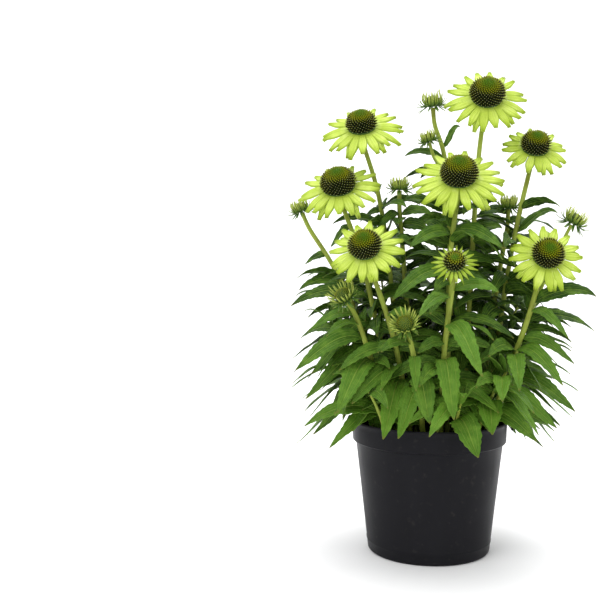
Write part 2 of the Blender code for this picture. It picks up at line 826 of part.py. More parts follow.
def joined(name, shapes, surface):
    """One object from shapes that grow out of the first."""
    body = new_object(name, mesh_from_shape(name, shapes[0]), surface)
    pieces = [
        new_object(f"{name}_piece_{i}", mesh_from_shape("piece", shape))
        for i, shape in enumerate(shapes[1:])
    ]
    combine(body, pieces, "UNION")
    return body


def build_pot():
    """The pot with its two lugs and its drainage holes."""
    plastic = material("pot_black_plastic", (0.022, 0.022, 0.024), 0.45)
    pot = new_object("pot", mesh_from_body("pot", turned(pot_profile())), plastic)
    lugs = []
    for side in (-1, 1):
        body = bmesh.new()
        middle = (
            side * (POT_RIM_RADIUS - 2.0 + LUG_REACH / 2) * MM,
            0.0,
            (POT_HEIGHT - 1.0 - LUG_HEIGHT / 2) * MM,
        )
        size = Matrix.Diagonal(((LUG_REACH + 2.0) * MM, LUG_WIDTH * MM, LUG_HEIGHT * MM, 1.0))
        bmesh.ops.create_cube(body, size=1.0, matrix=Matrix.Translation(middle) @ size)
        lugs.append(new_object(f"lug_{side}", mesh_from_body("lug", body)))
    combine(pot, lugs, "UNION")
    holes = []
    for k in range(HOLE_COUNT):
        angle = 2 * math.pi * (k + 0.5) / HOLE_COUNT
        body = bmesh.new()
        spot = (HOLE_CIRCLE * math.cos(angle) * MM, HOLE_CIRCLE * math.sin(angle) * MM, 0.0)
        bmesh.ops.create_cone(
            body,
            cap_ends=True,
            segments=HOLE_SIDES,
            radius1=HOLE_RADIUS * MM,
            radius2=HOLE_RADIUS * MM,
            depth=4 * POT_FLOOR * MM,
            matrix=Matrix.Translation(spot),
        )
        holes.append(new_object(f"hole_{k}", mesh_from_body("hole", body)))
    combine(pot, holes, "DIFFERENCE")


def build_soil(paths):
    """The soil that fills the pot, with a plain hole for each stem."""
    loam = material("soil_dark_loam", (0.020, 0.013, 0.009), 0.95)
    body = turned(soil_profile())
    bmesh.ops.dissolve_limit(body, angle_limit=math.radians(1.0), verts=body.verts, edges=body.edges)
    soil = new_object("soil", mesh_from_body("soil", body), loam)
    holes = []
    for node, path in paths.items():
        radius = STEM_THICK if node.startswith("stem_") else SHOOT_THICK
        x, y = path[0].x, path[0].y
        deep = Vector((x, y, STEM_FOOT - GAP))
        hole = tube([deep, Vector((x, y, STRAIGHT_TOP + 6.0))], radius + 0.35, radius + 0.35)
        holes.append(new_object("hole_" + node, mesh_from_shape("hole", hole)))
    combine(soil, holes, "DIFFERENCE")


def build_flowers(rings, cones):
    """A ring of petals and a cone for each flower."""
    petal = material("petal_lime_green", (0.56, 0.72, 0.11), 0.55)
    floret = material("cone_olive_florets", (0.11, 0.14, 0.012), 0.6)
    for name in FLOWERS:
        new_object("petals_" + name, mesh_from_shape("petals_" + name, rings[name]), petal)
        new_object("cone_" + name, mesh_from_shape("cone_" + name, cones[name]), floret)


def build_buds(buds):
    """The unopened heads."""
    green = material("bud_green_bracts", (0.10, 0.17, 0.025), 0.6)
    for name in BUDS:
        new_object("bud_" + name, mesh_from_shape("bud_" + name, buds[name]), green)


def build_greenery(tubes, leaves):
    """Every stem and shoot, with its leaves grown into it."""
    green = material("stem_and_leaf_green", (0.075, 0.19, 0.030), 0.5)
    for node, pieces in tubes.items():
        joined(node, pieces + [leaf_shape(leaf) for leaf in leaves[node]], green)


def main():
    for leftover in list(bpy.data.objects):
        bpy.data.objects.remove(leftover)
    paths = main_paths()
    tubes = tubes_by_node(paths)
    rings = {}
    cones = {}
    for seed, (name, flower) in enumerate(FLOWERS.items()):
        rings[name] = ring_shape(flower, seed)
        cones[name] = cone_shape(flower)
    buds = {name: bud_shape(bud) for name, bud in BUDS.items()}
    crowd = Crowd()
    for node, pieces in tubes.items():
        for piece in pieces:
            crowd.add(piece, node)
    for shape in [*rings.values(), *cones.values(), *buds.values()]:
        crowd.add(shape)
    crowd.add(pot_and_soil_room())
    leaves = place_leaves(paths, crowd)
    build_pot()
    build_soil(paths)
    build_flowers(rings, cones)
    build_buds(buds)
    build_greenery(tubes, leaves)


main()
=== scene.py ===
"""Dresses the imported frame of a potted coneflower: moulded pot, loam, stems, toothed leaves,
ribbed ray petals, cones of spines and leafy buds, on a pale floor in soft daylight.

X runs to the right, Y runs away from the front and Z runs up. The plant is worked out in
millimetres, and meshes are made in metres.
"""
import math
import random

import bpy
import numpy as np
from mathutils import Matrix, Vector, noise
from mathutils.bvhtree import BVHTree


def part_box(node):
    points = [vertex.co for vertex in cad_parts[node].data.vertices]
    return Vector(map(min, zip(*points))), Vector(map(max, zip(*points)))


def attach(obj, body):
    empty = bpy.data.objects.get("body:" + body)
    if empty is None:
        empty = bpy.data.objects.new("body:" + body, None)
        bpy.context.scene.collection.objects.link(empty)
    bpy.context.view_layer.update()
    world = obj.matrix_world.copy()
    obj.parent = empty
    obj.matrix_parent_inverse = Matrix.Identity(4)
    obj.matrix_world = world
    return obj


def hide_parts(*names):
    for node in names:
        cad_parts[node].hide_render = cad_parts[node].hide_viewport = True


bl_info = {
    "name": "Potted Coneflower",
    "version": (1, 0, 0),
    "blender": (4, 5, 0),
    "location": "3D View > Sidebar > Coneflower",
    "description": "Models a coneflower plant in its nursery pot, piece by piece",
    "category": "Add Mesh",
}

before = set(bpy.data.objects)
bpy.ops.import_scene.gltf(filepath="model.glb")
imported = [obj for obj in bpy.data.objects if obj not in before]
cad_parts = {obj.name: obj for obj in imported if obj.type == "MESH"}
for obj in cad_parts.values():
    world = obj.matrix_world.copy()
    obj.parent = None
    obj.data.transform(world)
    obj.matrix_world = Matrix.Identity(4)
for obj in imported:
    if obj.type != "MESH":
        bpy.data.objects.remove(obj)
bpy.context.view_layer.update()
POT_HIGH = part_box("pot")[1]

# A millimetre in metres, two directions, the gap between the frame's solids, and the turn
# from one leaf or floret of a spiral to the next
MM = 0.001
UP = Vector((0.0, 0.0, 1.0))
FRONT = Vector((0.0, -1.0, 0.0))
GAP = 0.3
GOLDEN_ANGLE = math.pi * (3.0 - math.sqrt(5.0))

# The pot
POT_BASE_RADIUS = 63.5
POT_WALL_TOP_RADIUS = 76.3
POT_BAND_HEIGHT = 23.0
POT_WALL = 1.5
POT_FLOOR = 2.0
POT_SIDES = 128
HEEL = 3.0
HOLE_COUNT = 8
HOLE_RADIUS = 6.0
HOLE_CIRCLE = 50.0
HOLE_SIDES = 24

# The lugs: a shelf that starts inside the rim, just under its top, with an edge turned down
LUG_WIDTH = 28.0
LUG_REACH = 4.5
LUG_HEIGHT = 9.0
LUG_ROOT = 2.4
LUG_DEPTH = 1.9
LUG_THICKNESS = 1.8
LUG_EDGE = 2.0
LUG_SOFTENING = 0.45

# The soil, its lumps and its loose crumbs
SOIL_LEVEL = 117.5
SOIL_SIDES = 96
SOIL_RING = 2.0
LUMP_HEIGHT = 2.2
LUMP_FREQUENCY = 0.11
CRUMB_COUNT = 520

# Stems and shoots, which start in the soil and come out of it straight
STEM_FOOT = 102.0
STRAIGHT_TOP = 124.0
PATH_STEPS = 10
STEM_THICK = 3.0
BRANCH_THICK = 2.2
SHOOT_THICK = 2.5
STEM_TAPER = 0.78
STEM_TURN = math.radians(17.0)
STEM_REACH = 70.0
NECK_LENGTH = 24.0
SHOOT_TAPER = 0.42
STEM_STEP = 6.0
STEM_SOFTENING = 60

# Leaves as the frame has them
LEAF_THICKNESS = 0.9
LEAF_KEEL = 0.16
LEAF_ROLL = math.radians(48.0)
SMALL_LEAF = 48.0
LEAF_STATIONS = (
    (0.0, 0.0, 0.0),
    (0.31, 1.0, 0.06),
    (0.48, 0.84, -0.08),
    (0.64, 0.84, 0.08),
    (1.0, 0.0, 0.0),
)
SMALL_LEAF_STATIONS = (
    (0.0, 0.0, 0.0),
    (0.36, 1.0, 0.08),
    (0.60, 0.72, -0.08),
    (1.0, 0.0, 0.0),
)

# The fine leaves: cells across a blade, the fewest along it and their spacing, and the space
# between the teeth of its edge
LEAF_CELLS_ACROSS = 6
LEAF_CELLS_ALONG = 14
LEAF_CELL_SPACING = 5.0
TOOTH_SPACING = 6.5
RULE_LEAF_NARROWING = 0.84

# No leaf that is set by rule ends both below a height and in front of a depth, over the pot's
# face, or leaves its stem above a height
POT_FACE_TOP = 128.0
POT_FACE_FRONT = -55.0
LEAF_HIGHEST = 400.0

# Rings of petals: the hub against the cone's radius, the widest petal, petal widths against
# the room that each has, and droops in degrees, where every second petal of the upper layer
# hangs lower
HUB_THICKNESS = 3.6
HUB_SHARE = 0.78
PETAL_WIDEST = 11.0
RAY_CELLS = (6, 12)
RAY_FILLING = 0.90
YOUNG_RAY_FILLING = 0.66
YOUNG_RAYS = 21
UPPER_DROOP = 8.0
SECOND_DROOP = 9.0
LOWER_DROOP = 21.0

# Cones and buds: how long a spine is at most and against the cone's radius, how closely the
# spines stand, and how far down each dome reaches
FLORET_LENGTH = 3.4
FLORET_SHARE = 0.22
FLORET_CROWDING = 1.35
BRACT_REACH = math.radians(118.0)
DOME_REACH = math.radians(97.0)
CORE_REACH = math.radians(108.0)
DOME_FLATTENING = 0.92
SPINE_CREASE = 35.0

# The green cup behind a cone, wide against the cone's radius, and its whorls of bracts: where
# they start against the cup's radius, their number and their length
CUP_SHARE = 0.84
CUP_PLACE = Vector((0.0, 0.0, -1.2))
CUP_DEPTH = 3.4
CUP_WHORLS = ((0.66, 15, 8.0), (0.42, 12, 7.0))
CUP_BRACT_DEPTH = 3.5
CUP_WHORL_STEP = 0.6
CUP_BRACT_WIDTH = 3.0
CUP_BRACT_BEND = 0.5

# Bracts and young rays are straps with this thickness and these cells across and along
STRAP_THICKNESS = 0.5
STRAP_CELLS = (2, 4)

# Each flower: middle of the petal ring, lift of its face above level, turn to the right,
# outer radius, cone radius, cone height, number of petals
FLOWERS = {
    "top_right": ((57, 10, 472.5), 39, 4, 43.0, 19.5, 21.0, 18),
    "top_left": ((-72, 5, 443), 52, -5, 44.0, 17.5, 19.0, 18),
    "right_mid": ((108, 25, 421.5), 45, 8, 35.0, 17.0, 18.0, 16),
    "centre": ((28, -35, 387), 46, 0, 46.5, 20.0, 23.0, 18),
    "left": ((-93.5, -20, 379.5), 51, -8, 43.5, 20.0, 21.0, 18),
    "lower_left": ((-62.5, -75, 316), 40, -6, 38.5, 17.5, 19.0, 16),
    "right_lower": ((113.5, -45, 308.5), 31, 6, 37.0, 17.0, 18.0, 16),
    "half_open": ((23, -95, 302), 35, 0, 22.5, 11.6, 11.0, 14),
}

# Each bud: middle, lift of its face, turn to the right, radius, spike length
BUDS = {
    "top": ((1.5, 45, 471.5), 78, -25, 9.5, 4.5),
    "side": ((-2.5, 30, 431.5), 70, -50, 7.0, 3.4),
    "left_inner": ((-32.5, 10, 380), 82, 0, 8.2, 4.0),
    "right_inner": ((82.5, 40, 361.5), 80, 10, 8.2, 4.4),
    "right_outer": ((145.5, 5, 343.5), 60, 80, 9.5, 4.6),
    "left_behind": ((-140, 30, 358), 66, -75, 8.2, 4.0),
    "lower_left": ((-84, -70, 268.5), 48, -40, 9.0, 5.2),
    "front": ((-23, -100, 244), 34, -10, 8.2, 5.6),
}

# The whorls of a bud's young rays and bracts: how far down the bud they start in degrees,
# with the turn of the whorl as its fraction, their number, the angle they leave at, length
# against the bud's radius, width, bend, and the share of pale young ray in their colour
BUD_WHORLS = (
    (96.5, 15, 22.0, 0.90, 1.7, 0.50, 0.80),
    (104.0, 16, 8.0, 1.25, 1.9, 0.45, 0.95),
    (108.5, 14, 62.0, 0.74, 2.2, 0.90, 0.15),
    (112.0, 12, 96.0, 0.78, 2.4, 0.80, 0.00),
    (117.5, 10, 128.0, 0.86, 2.4, 0.40, 0.00),
)

# The buds that face the front are further open, by this angle
BUD_OPENING = 30.0

# The closed florets on a bud's top
BUD_FLORETS = 95
BUD_FLORET_REACH = math.radians(75.0)

# Each flowering stem: root in the soil and points it passes, on its way to the head of its name
STEMS = {
    "top_right": ((35, 15), ((49, 11, 415),)),
    "top_left": ((-25, 10), ((-42, 14, 290), (-50, 20, 350), (-59, 24, 391))),
    "right_mid": ((59, 20), ((86, 23, 324), (100, 25, 385))),
    "centre": ((19, -12), ((19, -25, 290), (22, -30, 335))),
    "left": ((-32, -5), ((-66, -14, 290), (-79, -17, 332))),
    "lower_left": ((-17, -28), ((-32, -51, 214), (-45, -62, 262))),
    "right_lower": ((59, -14), ((76, -25, 188), (90, -31, 222), (101, -36, 260))),
    "half_open": ((12, -34), ((12, -53, 175), (15, -71, 232))),
    "bud_top": ((25, 30), ((21, 38, 300), (16, 43, 421))),
    "bud_left_inner": ((-12, 22), ((-28, 14, 301), (-31, 12, 345))),
    "bud_right_inner": ((52, 32), ((70, 37, 270), (80, 40, 330))),
    "bud_left_behind": ((-36, 20), ((-72, 25, 235), (-108, 28, 306))),
    "bud_lower_left": ((-38, -26), ((-51, -45, 185), (-63, -54, 220))),
    "bud_front": ((-5, -40), ((-9, -66, 175), (-14, -82, 208))),
}

# Each branch: the stem that bears it, the height it leaves at, a point it passes, its bud
BRANCHES = (
    ("bud_top", 392.0, (3, 33, 412), "side"),
    ("right_lower", 212.0, (102, -8, 252), "right_outer"),
)

# Each leafy shoot without a flower: root and top
SHOOTS = {
    "right": ((64, 3), (104, 14, 252)),
    "right_front": ((44, -40), (74, -66, 196)),
    "left": ((-56, -2), (-98, -18, 240)),
    "left_front": ((-40, -46), (-62, -78, 182)),
    "back_middle": ((4, 58), (8, 90, 330)),
    "back_left": ((-36, 46), (-58, 84, 305)),
    "back_right": ((34, 54), (52, 92, 312)),
    "far_left": ((-58, 20), (-104, 44, 272)),
    "far_right": ((52, 46), (108, 66, 280)),
    "front": ((24, -58), (30, -84, 168)),
}

# Leaves given one by one: node, height of the root, tip, width
PLACED_LEAVES = (
    ("stem_bud_left_behind", 306, (-135, 30, 298), 10),
    ("stem_bud_left_behind", 277, (-138, 5, 271), 15),
    ("stem_left", 262, (-142, -28, 256), 15),
    ("stem_bud_lower_left", 249, (-120, -62, 232), 10),
    ("stem_bud_lower_left", 238, (-98, -95, 231), 10),
    ("stem_bud_lower_left", 224, (-130, -80, 196), 17),
    ("stem_left", 236, (-119, -45, 188), 15),
    ("stem_left", 208, (-124, -50, 163), 18),
    ("stem_bud_lower_left", 201, (-86, -112, 160), 21),
    ("stem_left", 173, (-118, -35, 124), 19),
    ("stem_bud_lower_left", 148, (-98, -66, 117), 16),
    ("stem_lower_left", 191, (-73, -100, 167), 18),
    ("stem_lower_left", 181, (-43, -106, 135), 21),
    ("stem_bud_front", 174, (-29, -101, 135), 17),
    ("stem_bud_front", 187, (1, -112, 152), 19),
    ("stem_half_open", 204, (23, -118, 157), 19),
    ("shoot_front", 148, (46, -106, 120), 23),
    ("shoot_right_front", 162, (59, -101, 141), 21),
    ("stem_half_open", 151, (8, -90, 140), 13),
    ("stem_half_open", 239, (48, -128, 199), 17),
    ("stem_bud_front", 209, (-12, -118, 183), 10),
    ("stem_bud_front", 222, (-45, -110, 218), 11),
    ("stem_half_open", 222, (-11, -88, 215), 12),
    ("stem_half_open", 266, (-10, -120, 252), 12),
    ("stem_half_open", 274, (64, -92, 274), 13),
    ("stem_centre", 288, (-36, -78, 265), 17),
    ("stem_centre", 328, (-20, -62, 316), 14),
    ("stem_centre", 331, (70, -60, 315), 14),
    ("stem_right_mid", 331, (130, 14, 352), 13),
    ("stem_bud_right_inner", 343, (106, 48, 342), 10),
    ("stem_right_lower", 261, (162, -34, 268), 15),
    ("stem_right_lower", 242, (163, -20, 233), 14),
    ("stem_right_lower", 252, (131, -70, 230), 11),
    ("stem_right_lower", 224, (141, -42, 202), 14),
    ("stem_right_lower", 213, (125, -82, 186), 16),
    ("stem_right_lower", 205, (95, -104, 183), 16),
    ("shoot_right", 208, (124, -22, 191), 12),
    ("shoot_right_front", 188, (67, -112, 174), 15),
    ("shoot_right", 178, (145, -25, 152), 18),
    ("shoot_right_front", 172, (123, -58, 141), 21),
    ("shoot_right_front", 152, (102, -78, 131), 18),
    ("stem_bud_top", 412, (-28, 36, 414), 9),
    ("stem_bud_top", 424, (31, 50, 446), 8),
    ("stem_left", 336, (-103, -8, 317), 12),
    ("stem_top_left", 354, (-75, 26, 344), 10),
    ("stem_bud_left_inner", 351, (-56, -8, 332), 10),
    ("stem_centre", 349, (38, -8, 353), 9),
    ("stem_bud_top", 352, (-32, 30, 364), 15),
    ("stem_bud_right_inner", 352, (50, 30, 350), 12),
    ("stem_right_mid", 314, (108, 6, 301), 13),
)

# Leaves set by rule: lowest root, space between roots, lengths and widths
LEAF_LOWEST = 140.0
LEAF_SPACING = 36.0
LEAF_HEAD_ROOM = 60.0
LEAF_LONG = 88.0
LEAF_SHORT = 44.0
LEAF_WIDTH_SHARE = 0.29
SHOOT_SPACING = 22.0
SHOOT_LOWEST = 150.0

# A leaf that meets something is turned, lifted and shortened by these steps
TURNS = (0, 9, -9, 18, -18, 28, -28, 40, -40, 55, -55)
LIFTS = (0, 9, -9, 18)
SHRINKS = (1.0, 0.88, 0.76, 0.64)
CLEAR_THICKNESS = 2.6
CLEAR_MARGIN = 1.6
LEAF_FLOOR = 100.0

# Sides of the rough stems and of the room around the pot and the soil, which leaves clear
ROUGH_SIDES = 6
ROOM_SIDES = 32

# The small leaves that fill the plant between the others: share of the spacing, seed, and the
# thickness and margin with which they clear the others
FILLING = ((0.55, 300, 1.5, 0.4), (0.50, 600, 1.2, 0.0))

# More leaves given one by one, which close the middle of the plant: node, height of the root, tip,
# width
INNER_LEAVES = (
    ("stem_bud_left_inner", 350, (2, 2, 350), 11),
    ("stem_bud_left_inner", 338, (-2, 8, 334), 14),
    ("stem_bud_left_inner", 332, (-46, 4, 350), 10),
    ("stem_bud_left_inner", 344, (-52, 0, 340), 12),
    ("stem_bud_left_inner", 322, (-52, -4, 322), 14),
    ("stem_centre", 336, (10, -18, 362), 9),
    ("stem_centre", 338, (40, -14, 358), 9),
    ("stem_centre", 322, (-6, -14, 340), 13),
    ("stem_bud_right_inner", 340, (46, 30, 346), 12),
    ("stem_bud_right_inner", 325, (94, 34, 338), 12),
    ("stem_bud_right_inner", 318, (54, 28, 328), 14),
    ("stem_top_right", 330, (74, 8, 336), 13),
    ("stem_top_left", 330, (-34, 14, 350), 12),
    ("stem_top_left", 318, (-66, 10, 330), 13),
    ("stem_bud_top", 340, (-12, 40, 344), 16),
    ("stem_bud_top", 328, (50, 40, 336), 15),
    ("stem_bud_top", 316, (-16, 34, 322), 16),
    ("shoot_back_middle", 322, (-26, 84, 345), 16),
    ("shoot_back_middle", 326, (36, 86, 342), 15),
    ("shoot_back_middle", 316, (-10, 92, 350), 15),
    ("shoot_back_left", 300, (-28, 84, 335), 16),
    ("shoot_back_left", 302, (-66, 90, 338), 15),
    ("shoot_back_right", 306, (68, 92, 340), 16),
    ("shoot_back_right", 308, (36, 94, 345), 15),
)

# The young leaves around a shoot's tip
TUFT_LEAVES = 5
TUFT_LENGTH = 26.0

# The thickness and margin with which the last small leaves clear the others
INNER_CLEARANCE = (1.2, 0.0)
TUFT_CLEARANCE = (1.0, 0.0)

# The stage, in metres: the floor, its backdrop, and the sweep between them
FLOOR_SIZE = 6.0
BACKDROP_HEIGHT = 4.0
SWEEP_RADIUS = 1.2
SWEEP_SEGMENTS = 14

# Each soft light: place, target, size in metres, power
PLANT_MIDDLE = (0.0, 0.0, 0.25)
LIGHTS = {
    "key": ((-0.9, -1.5, 1.7), PLANT_MIDDLE, 1.4, 16.0),
    "fill": ((1.4, -1.1, 0.9), PLANT_MIDDLE, 1.2, 3.0),
    "top": ((0.1, 0.3, 2.0), PLANT_MIDDLE, 1.6, 17.0),
    "backdrop_light": ((0.0, 0.9, 2.4), (0.0, 3.0, 0.6), 2.5, 46.0),
}
SKY_STRENGTH = 0.84

# The camera looks slightly down, with the plant to the right of the picture's middle
CAMERA_PLACE = (0.0, -1.008, 0.314)
CAMERA_PITCH = math.radians(87.0)
CAMERA_TURN = math.atan(130.0 / 960.0)
CAMERA_LENS = 57.6
CAMERA_SENSOR = 36.0
CAMERA_NEAREST = 0.05


def linear(code):
    """The linear red, green and blue of an sRGB hex code, as shaders want it."""
    shares = [int(code[i:i + 2], 16) / 255 for i in (1, 3, 5)]
    return [s / 12.92 if s <= 0.04045 else ((s + 0.055) / 1.055) ** 2.4 for s in shares]


class PlantSizes(bpy.types.PropertyGroup):
    """Sizes that can be changed before the pieces are made."""

    pot_height: bpy.props.FloatProperty(
        name="Pot Height",
        description="Height of the pot's rim above the floor",
        default=POT_HIGH.z,
        unit="LENGTH",
    )
    rim_radius: bpy.props.FloatProperty(
        name="Rim Radius",
        description="Outer radius of the pot's rim",
        default=POT_HIGH.y,
        unit="LENGTH",
    )
    leaf_thickness: bpy.props.FloatProperty(
        name="Leaf Thickness",
        description="Thickness of a leaf's blade",
        default=0.0005,
        unit="LENGTH",
    )
    tooth_depth: bpy.props.FloatProperty(
        name="Tooth Depth",
        description="Depth of the teeth along a leaf's edge, as a share of its half width",
        default=0.24,
        subtype="FACTOR",
    )
    ray_thickness: bpy.props.FloatProperty(
        name="Petal Thickness",
        description="Thickness of a ray petal",
        default=0.0006,
        unit="LENGTH",
    )
    rib_depth: bpy.props.FloatProperty(
        name="Petal Rib Depth",
        description="Depth of the two grooves along a ray petal",
        default=0.0005,
        unit="LENGTH",
    )
    floret_spacing: bpy.props.FloatProperty(
        name="Floret Spacing",
        description="Distance between neighbouring spines on a cone",
        default=0.0029,
        unit="LENGTH",
    )
    stem_radius: bpy.props.FloatProperty(
        name="Stem Radius",
        description="Radius of a flowering stem at the soil",
        default=0.0029,
        unit="LENGTH",
    )


class PlantColours(bpy.types.PropertyGroup):
    """Colours that can be changed before the pieces are made."""

    ray: bpy.props.FloatVectorProperty(
        name="Petal",
        description="Colour of the middle of a ray petal",
        default=linear("#C8DE5E"),
        subtype="COLOR",
    )
    ray_throat: bpy.props.FloatVectorProperty(
        name="Petal Throat",
        description="Colour of a ray petal next to the cone",
        default=linear("#8FAA2E"),
        subtype="COLOR",
    )
    leaf: bpy.props.FloatVectorProperty(
        name="Leaf",
        description="Colour of a leaf's upper face in the light",
        default=linear("#568022"),
        subtype="COLOR",
    )
    # Painted shade: the darker green that leaves deep in the plant take in place of shade
    shaded_leaf: bpy.props.FloatVectorProperty(
        name="Deep Leaf",
        description="Colour of the darker leaves",
        default=linear("#294617"),
        subtype="COLOR",
    )
    stem: bpy.props.FloatVectorProperty(
        name="Stem",
        description="Colour of the flowering stems",
        default=linear("#82942F"),
        subtype="COLOR",
    )
    spine: bpy.props.FloatVectorProperty(
        name="Spine",
        description="Colour of the middle of a cone's spines",
        default=linear("#6E7410"),
        subtype="COLOR",
    )
    bract: bpy.props.FloatVectorProperty(
        name="Bract",
        description="Colour of the bracts around a bud",
        default=linear("#4F7424"),
        subtype="COLOR",
    )
    pot: bpy.props.FloatVectorProperty(
        name="Pot",
        description="Colour of the pot's plastic",
        default=linear("#17171A"),
        subtype="COLOR",
    )
    loam: bpy.props.FloatVectorProperty(
        name="Loam",
        description="Colour of the moist soil",
        default=linear("#2A1E15"),
        subtype="COLOR",
    )
    floor: bpy.props.FloatVectorProperty(
        name="Floor",
        description="Colour of the floor and the backdrop",
        default=linear("#FBFBFC"),
        subtype="COLOR",
    )


# Curves that the frame and the fine pieces share


def smooth_path(points):
    """Points along a smooth curve that passes through the given ones."""
    points = [Vector(point) for point in points]
    last = len(points) - 1
    path = []
    for i in range(last):
        start, end = points[i], points[i + 1]
        reach = (end - start).length
        leave = (end - points[max(i - 1, 0)]).normalized() * reach
        arrive = (points[min(i + 2, last)] - start).normalized() * reach
        for k in range(PATH_STEPS):
            t = k / PATH_STEPS
            path.append(
                start * (2 * t**3 - 3 * t**2 + 1)
                + leave * (t**3 - 2 * t**2 + t)
                + end * (3 * t**2 - 2 * t**3)
                + arrive * (t**3 - t**2)
            )
    path.append(points[-1])
    return path


def thin_out(path):
    """Drop points where the path is nearly straight, past its first two."""
    kept = path[:2]
    heading = path[1] - path[0]
    for i in range(2, len(path) - 1):
        ahead = path[i + 1] - path[i]
        far = (path[i] - kept[-1]).length
        if heading.angle(ahead) > STEM_TURN or far > STEM_REACH:
            kept.append(path[i])
            heading = ahead
    kept.append(path[-1])
    return kept


def softened(path):
    """The path with even steps and without its sharper bends."""
    spots = [path[0]]
    for low, high in zip(path, path[1:]):
        parts = max(1, round((high - low).length / STEM_STEP))
        spots += [low.lerp(high, (k + 1) / parts) for k in range(parts)]
    for _ in range(STEM_SOFTENING):
        inner = [
            (spots[i - 1] + spots[i] * 2.0 + spots[i + 1]) / 4.0 for i in range(1, len(spots) - 1)
        ]
        spots = [spots[0], *inner, spots[-1]]
    return spots


def point_at_height(path, height):
    """The first point of the path at a height."""
    for low, high in zip(path, path[1:]):
        if low.z <= height <= high.z:
            return low.lerp(high, (height - low.z) / (high.z - low.z))
    return path[-1].copy()


def nearest_on_path(path, point):
    """The point of the path that lies nearest to a point."""
    best = None
    for low, high in zip(path, path[1:]):
        along = high - low
        share = max(0.0, min(1.0, (point - low).dot(along) / along.length_squared))
        spot = low + along * share
        if best is None or (spot - point).length < (best - point).length:
            best = spot
    return best


def face_matrix(at, lift, turn):
    """The place of a flower's face, with local Z along its axis."""
    lift = math.radians(lift)
    turn = math.radians(turn)
    level = Vector((math.sin(turn), -math.cos(turn), 0.0))
    axis = level * math.cos(lift) + UP * math.sin(lift)
    side = UP.cross(axis).normalized()
    back = axis.cross(side)
    turned = Matrix((side, back, axis)).transposed().to_4x4()
    return Matrix.Translation(Vector(at)) @ turned


def head_seat(name):
    """Where the stem of a flower or a bud ends, and the way it faces there."""
    if name.startswith("bud_"):
        at, lift, turn, radius, _ = BUDS[name.removeprefix("bud_")]
        axis = face_matrix(at, lift, turn).col[2].to_3d()
        return Vector(at) + axis * (radius * math.cos(BRACT_REACH) - GAP), axis
    at, lift, turn = FLOWERS[name][:3]
    axis = face_matrix(at, lift, turn).col[2].to_3d()
    return Vector(at) - axis * (HUB_THICKNESS + GAP), axis


def stem_path(name):
    """A stem's smooth path from its foot in the soil to the head it carries."""
    root, way = STEMS[name]
    seat, axis = head_seat(name)
    foot = Vector((root[0], root[1], STEM_FOOT))
    straight = Vector((root[0], root[1], STRAIGHT_TOP))
    neck = [seat - axis * NECK_LENGTH * share for share in (1.0, 0.4)]
    return [foot] + smooth_path([straight, *way, *neck, seat])


def shoot_path(name):
    """A leafy shoot's smooth path, leaning outward as it rises."""
    root, top = SHOOTS[name]
    foot = Vector((root[0], root[1], STEM_FOOT))
    straight = Vector((root[0], root[1], STRAIGHT_TOP))
    top = Vector(top)
    bend = straight.lerp(top, 0.45) + UP * (top.z - straight.z) * 0.12
    return [foot] + smooth_path([straight, bend, top])


def branch_path(main, height, way, bud):
    """A branch's smooth path from its stem to the bud it carries."""
    seat, axis = head_seat("bud_" + bud)
    neck = seat - axis * NECK_LENGTH * 0.5
    return smooth_path([point_at_height(main, height), way, neck, seat])


def main_paths():
    """The smooth path of every stem and shoot, by node."""
    paths = {"stem_" + name: stem_path(name) for name in STEMS}
    paths.update({"shoot_" + name: shoot_path(name) for name in SHOOTS})
    return paths


# The placing of the leaves


def tube(path, thick, thin, sides):
    """A closed tube along a path, as corners and faces."""
    corners = []
    faces = []
    last = len(path) - 1
    side = Vector((1.0, 0.0, 0.0))
    for i, point in enumerate(path):
        ahead = (path[min(i + 1, last)] - path[max(i - 1, 0)]).normalized()
        side = (side - ahead * side.dot(ahead)).normalized()
        other = ahead.cross(side)
        radius = thick + (thin - thick) * i / last
        for k in range(sides):
            angle = 2 * math.pi * k / sides
            corners.append(point + (side * math.cos(angle) + other * math.sin(angle)) * radius)
    for i in range(last):
        for k in range(sides):
            a = i * sides + k
            b = i * sides + (k + 1) % sides
            faces.append((a, b, b + sides, a + sides))
    faces.append(tuple(reversed(range(sides))))
    faces.append(tuple(range(last * sides, last * sides + sides)))
    return corners, faces


def blade(rows, thickness):
    """A thin closed blade through rows of points, which ends in a tip where a row is one point."""
    corners = []
    faces = []
    starts = []
    for points, normal in rows:
        starts.append(len(corners))
        corners += [point + normal * thickness / 2 for point in points]
        corners += [point - normal * thickness / 2 for point in points]
    faces += [tuple(reversed(face)) for face in cap_faces(starts[0], len(rows[0][0]))]
    for i in range(len(rows) - 1):
        faces += span_faces(starts[i], len(rows[i][0]), starts[i + 1], len(rows[i + 1][0]))
    return corners, faces + cap_faces(starts[-1], len(rows[-1][0]))


def cap_faces(first, count):
    """The faces across a blade's end, facing forward."""
    faces = []
    for k in range(first, first + count - 1):
        faces += [(k, k + 1, k + count + 1), (k, k + count + 1, k + count)]
    return faces


def span_faces(near, near_count, far, far_count):
    """The faces of a blade between two rows: both broad faces and both edges."""
    faces = []
    i = j = 0
    while i < near_count - 1 or j < far_count - 1:
        if i < near_count - 1 and (i + 1) * (far_count - 1) <= (j + 1) * (near_count - 1):
            top = (near + i, near + i + 1, far + j)
            under = (near + near_count + i, far + far_count + j, near + near_count + i + 1)
            i += 1
        else:
            top = (near + i, far + j + 1, far + j)
            under = (near + near_count + i, far + far_count + j, far + far_count + j + 1)
            j += 1
        faces += [top, under]
    faces += [(near, far, far + far_count), (near, far + far_count, near + near_count)]
    right, right_far = near + near_count - 1, far + far_count - 1
    faces += [(right, right + near_count, right_far + far_count)]
    faces += [(right, right_far + far_count, right_far)]
    return faces


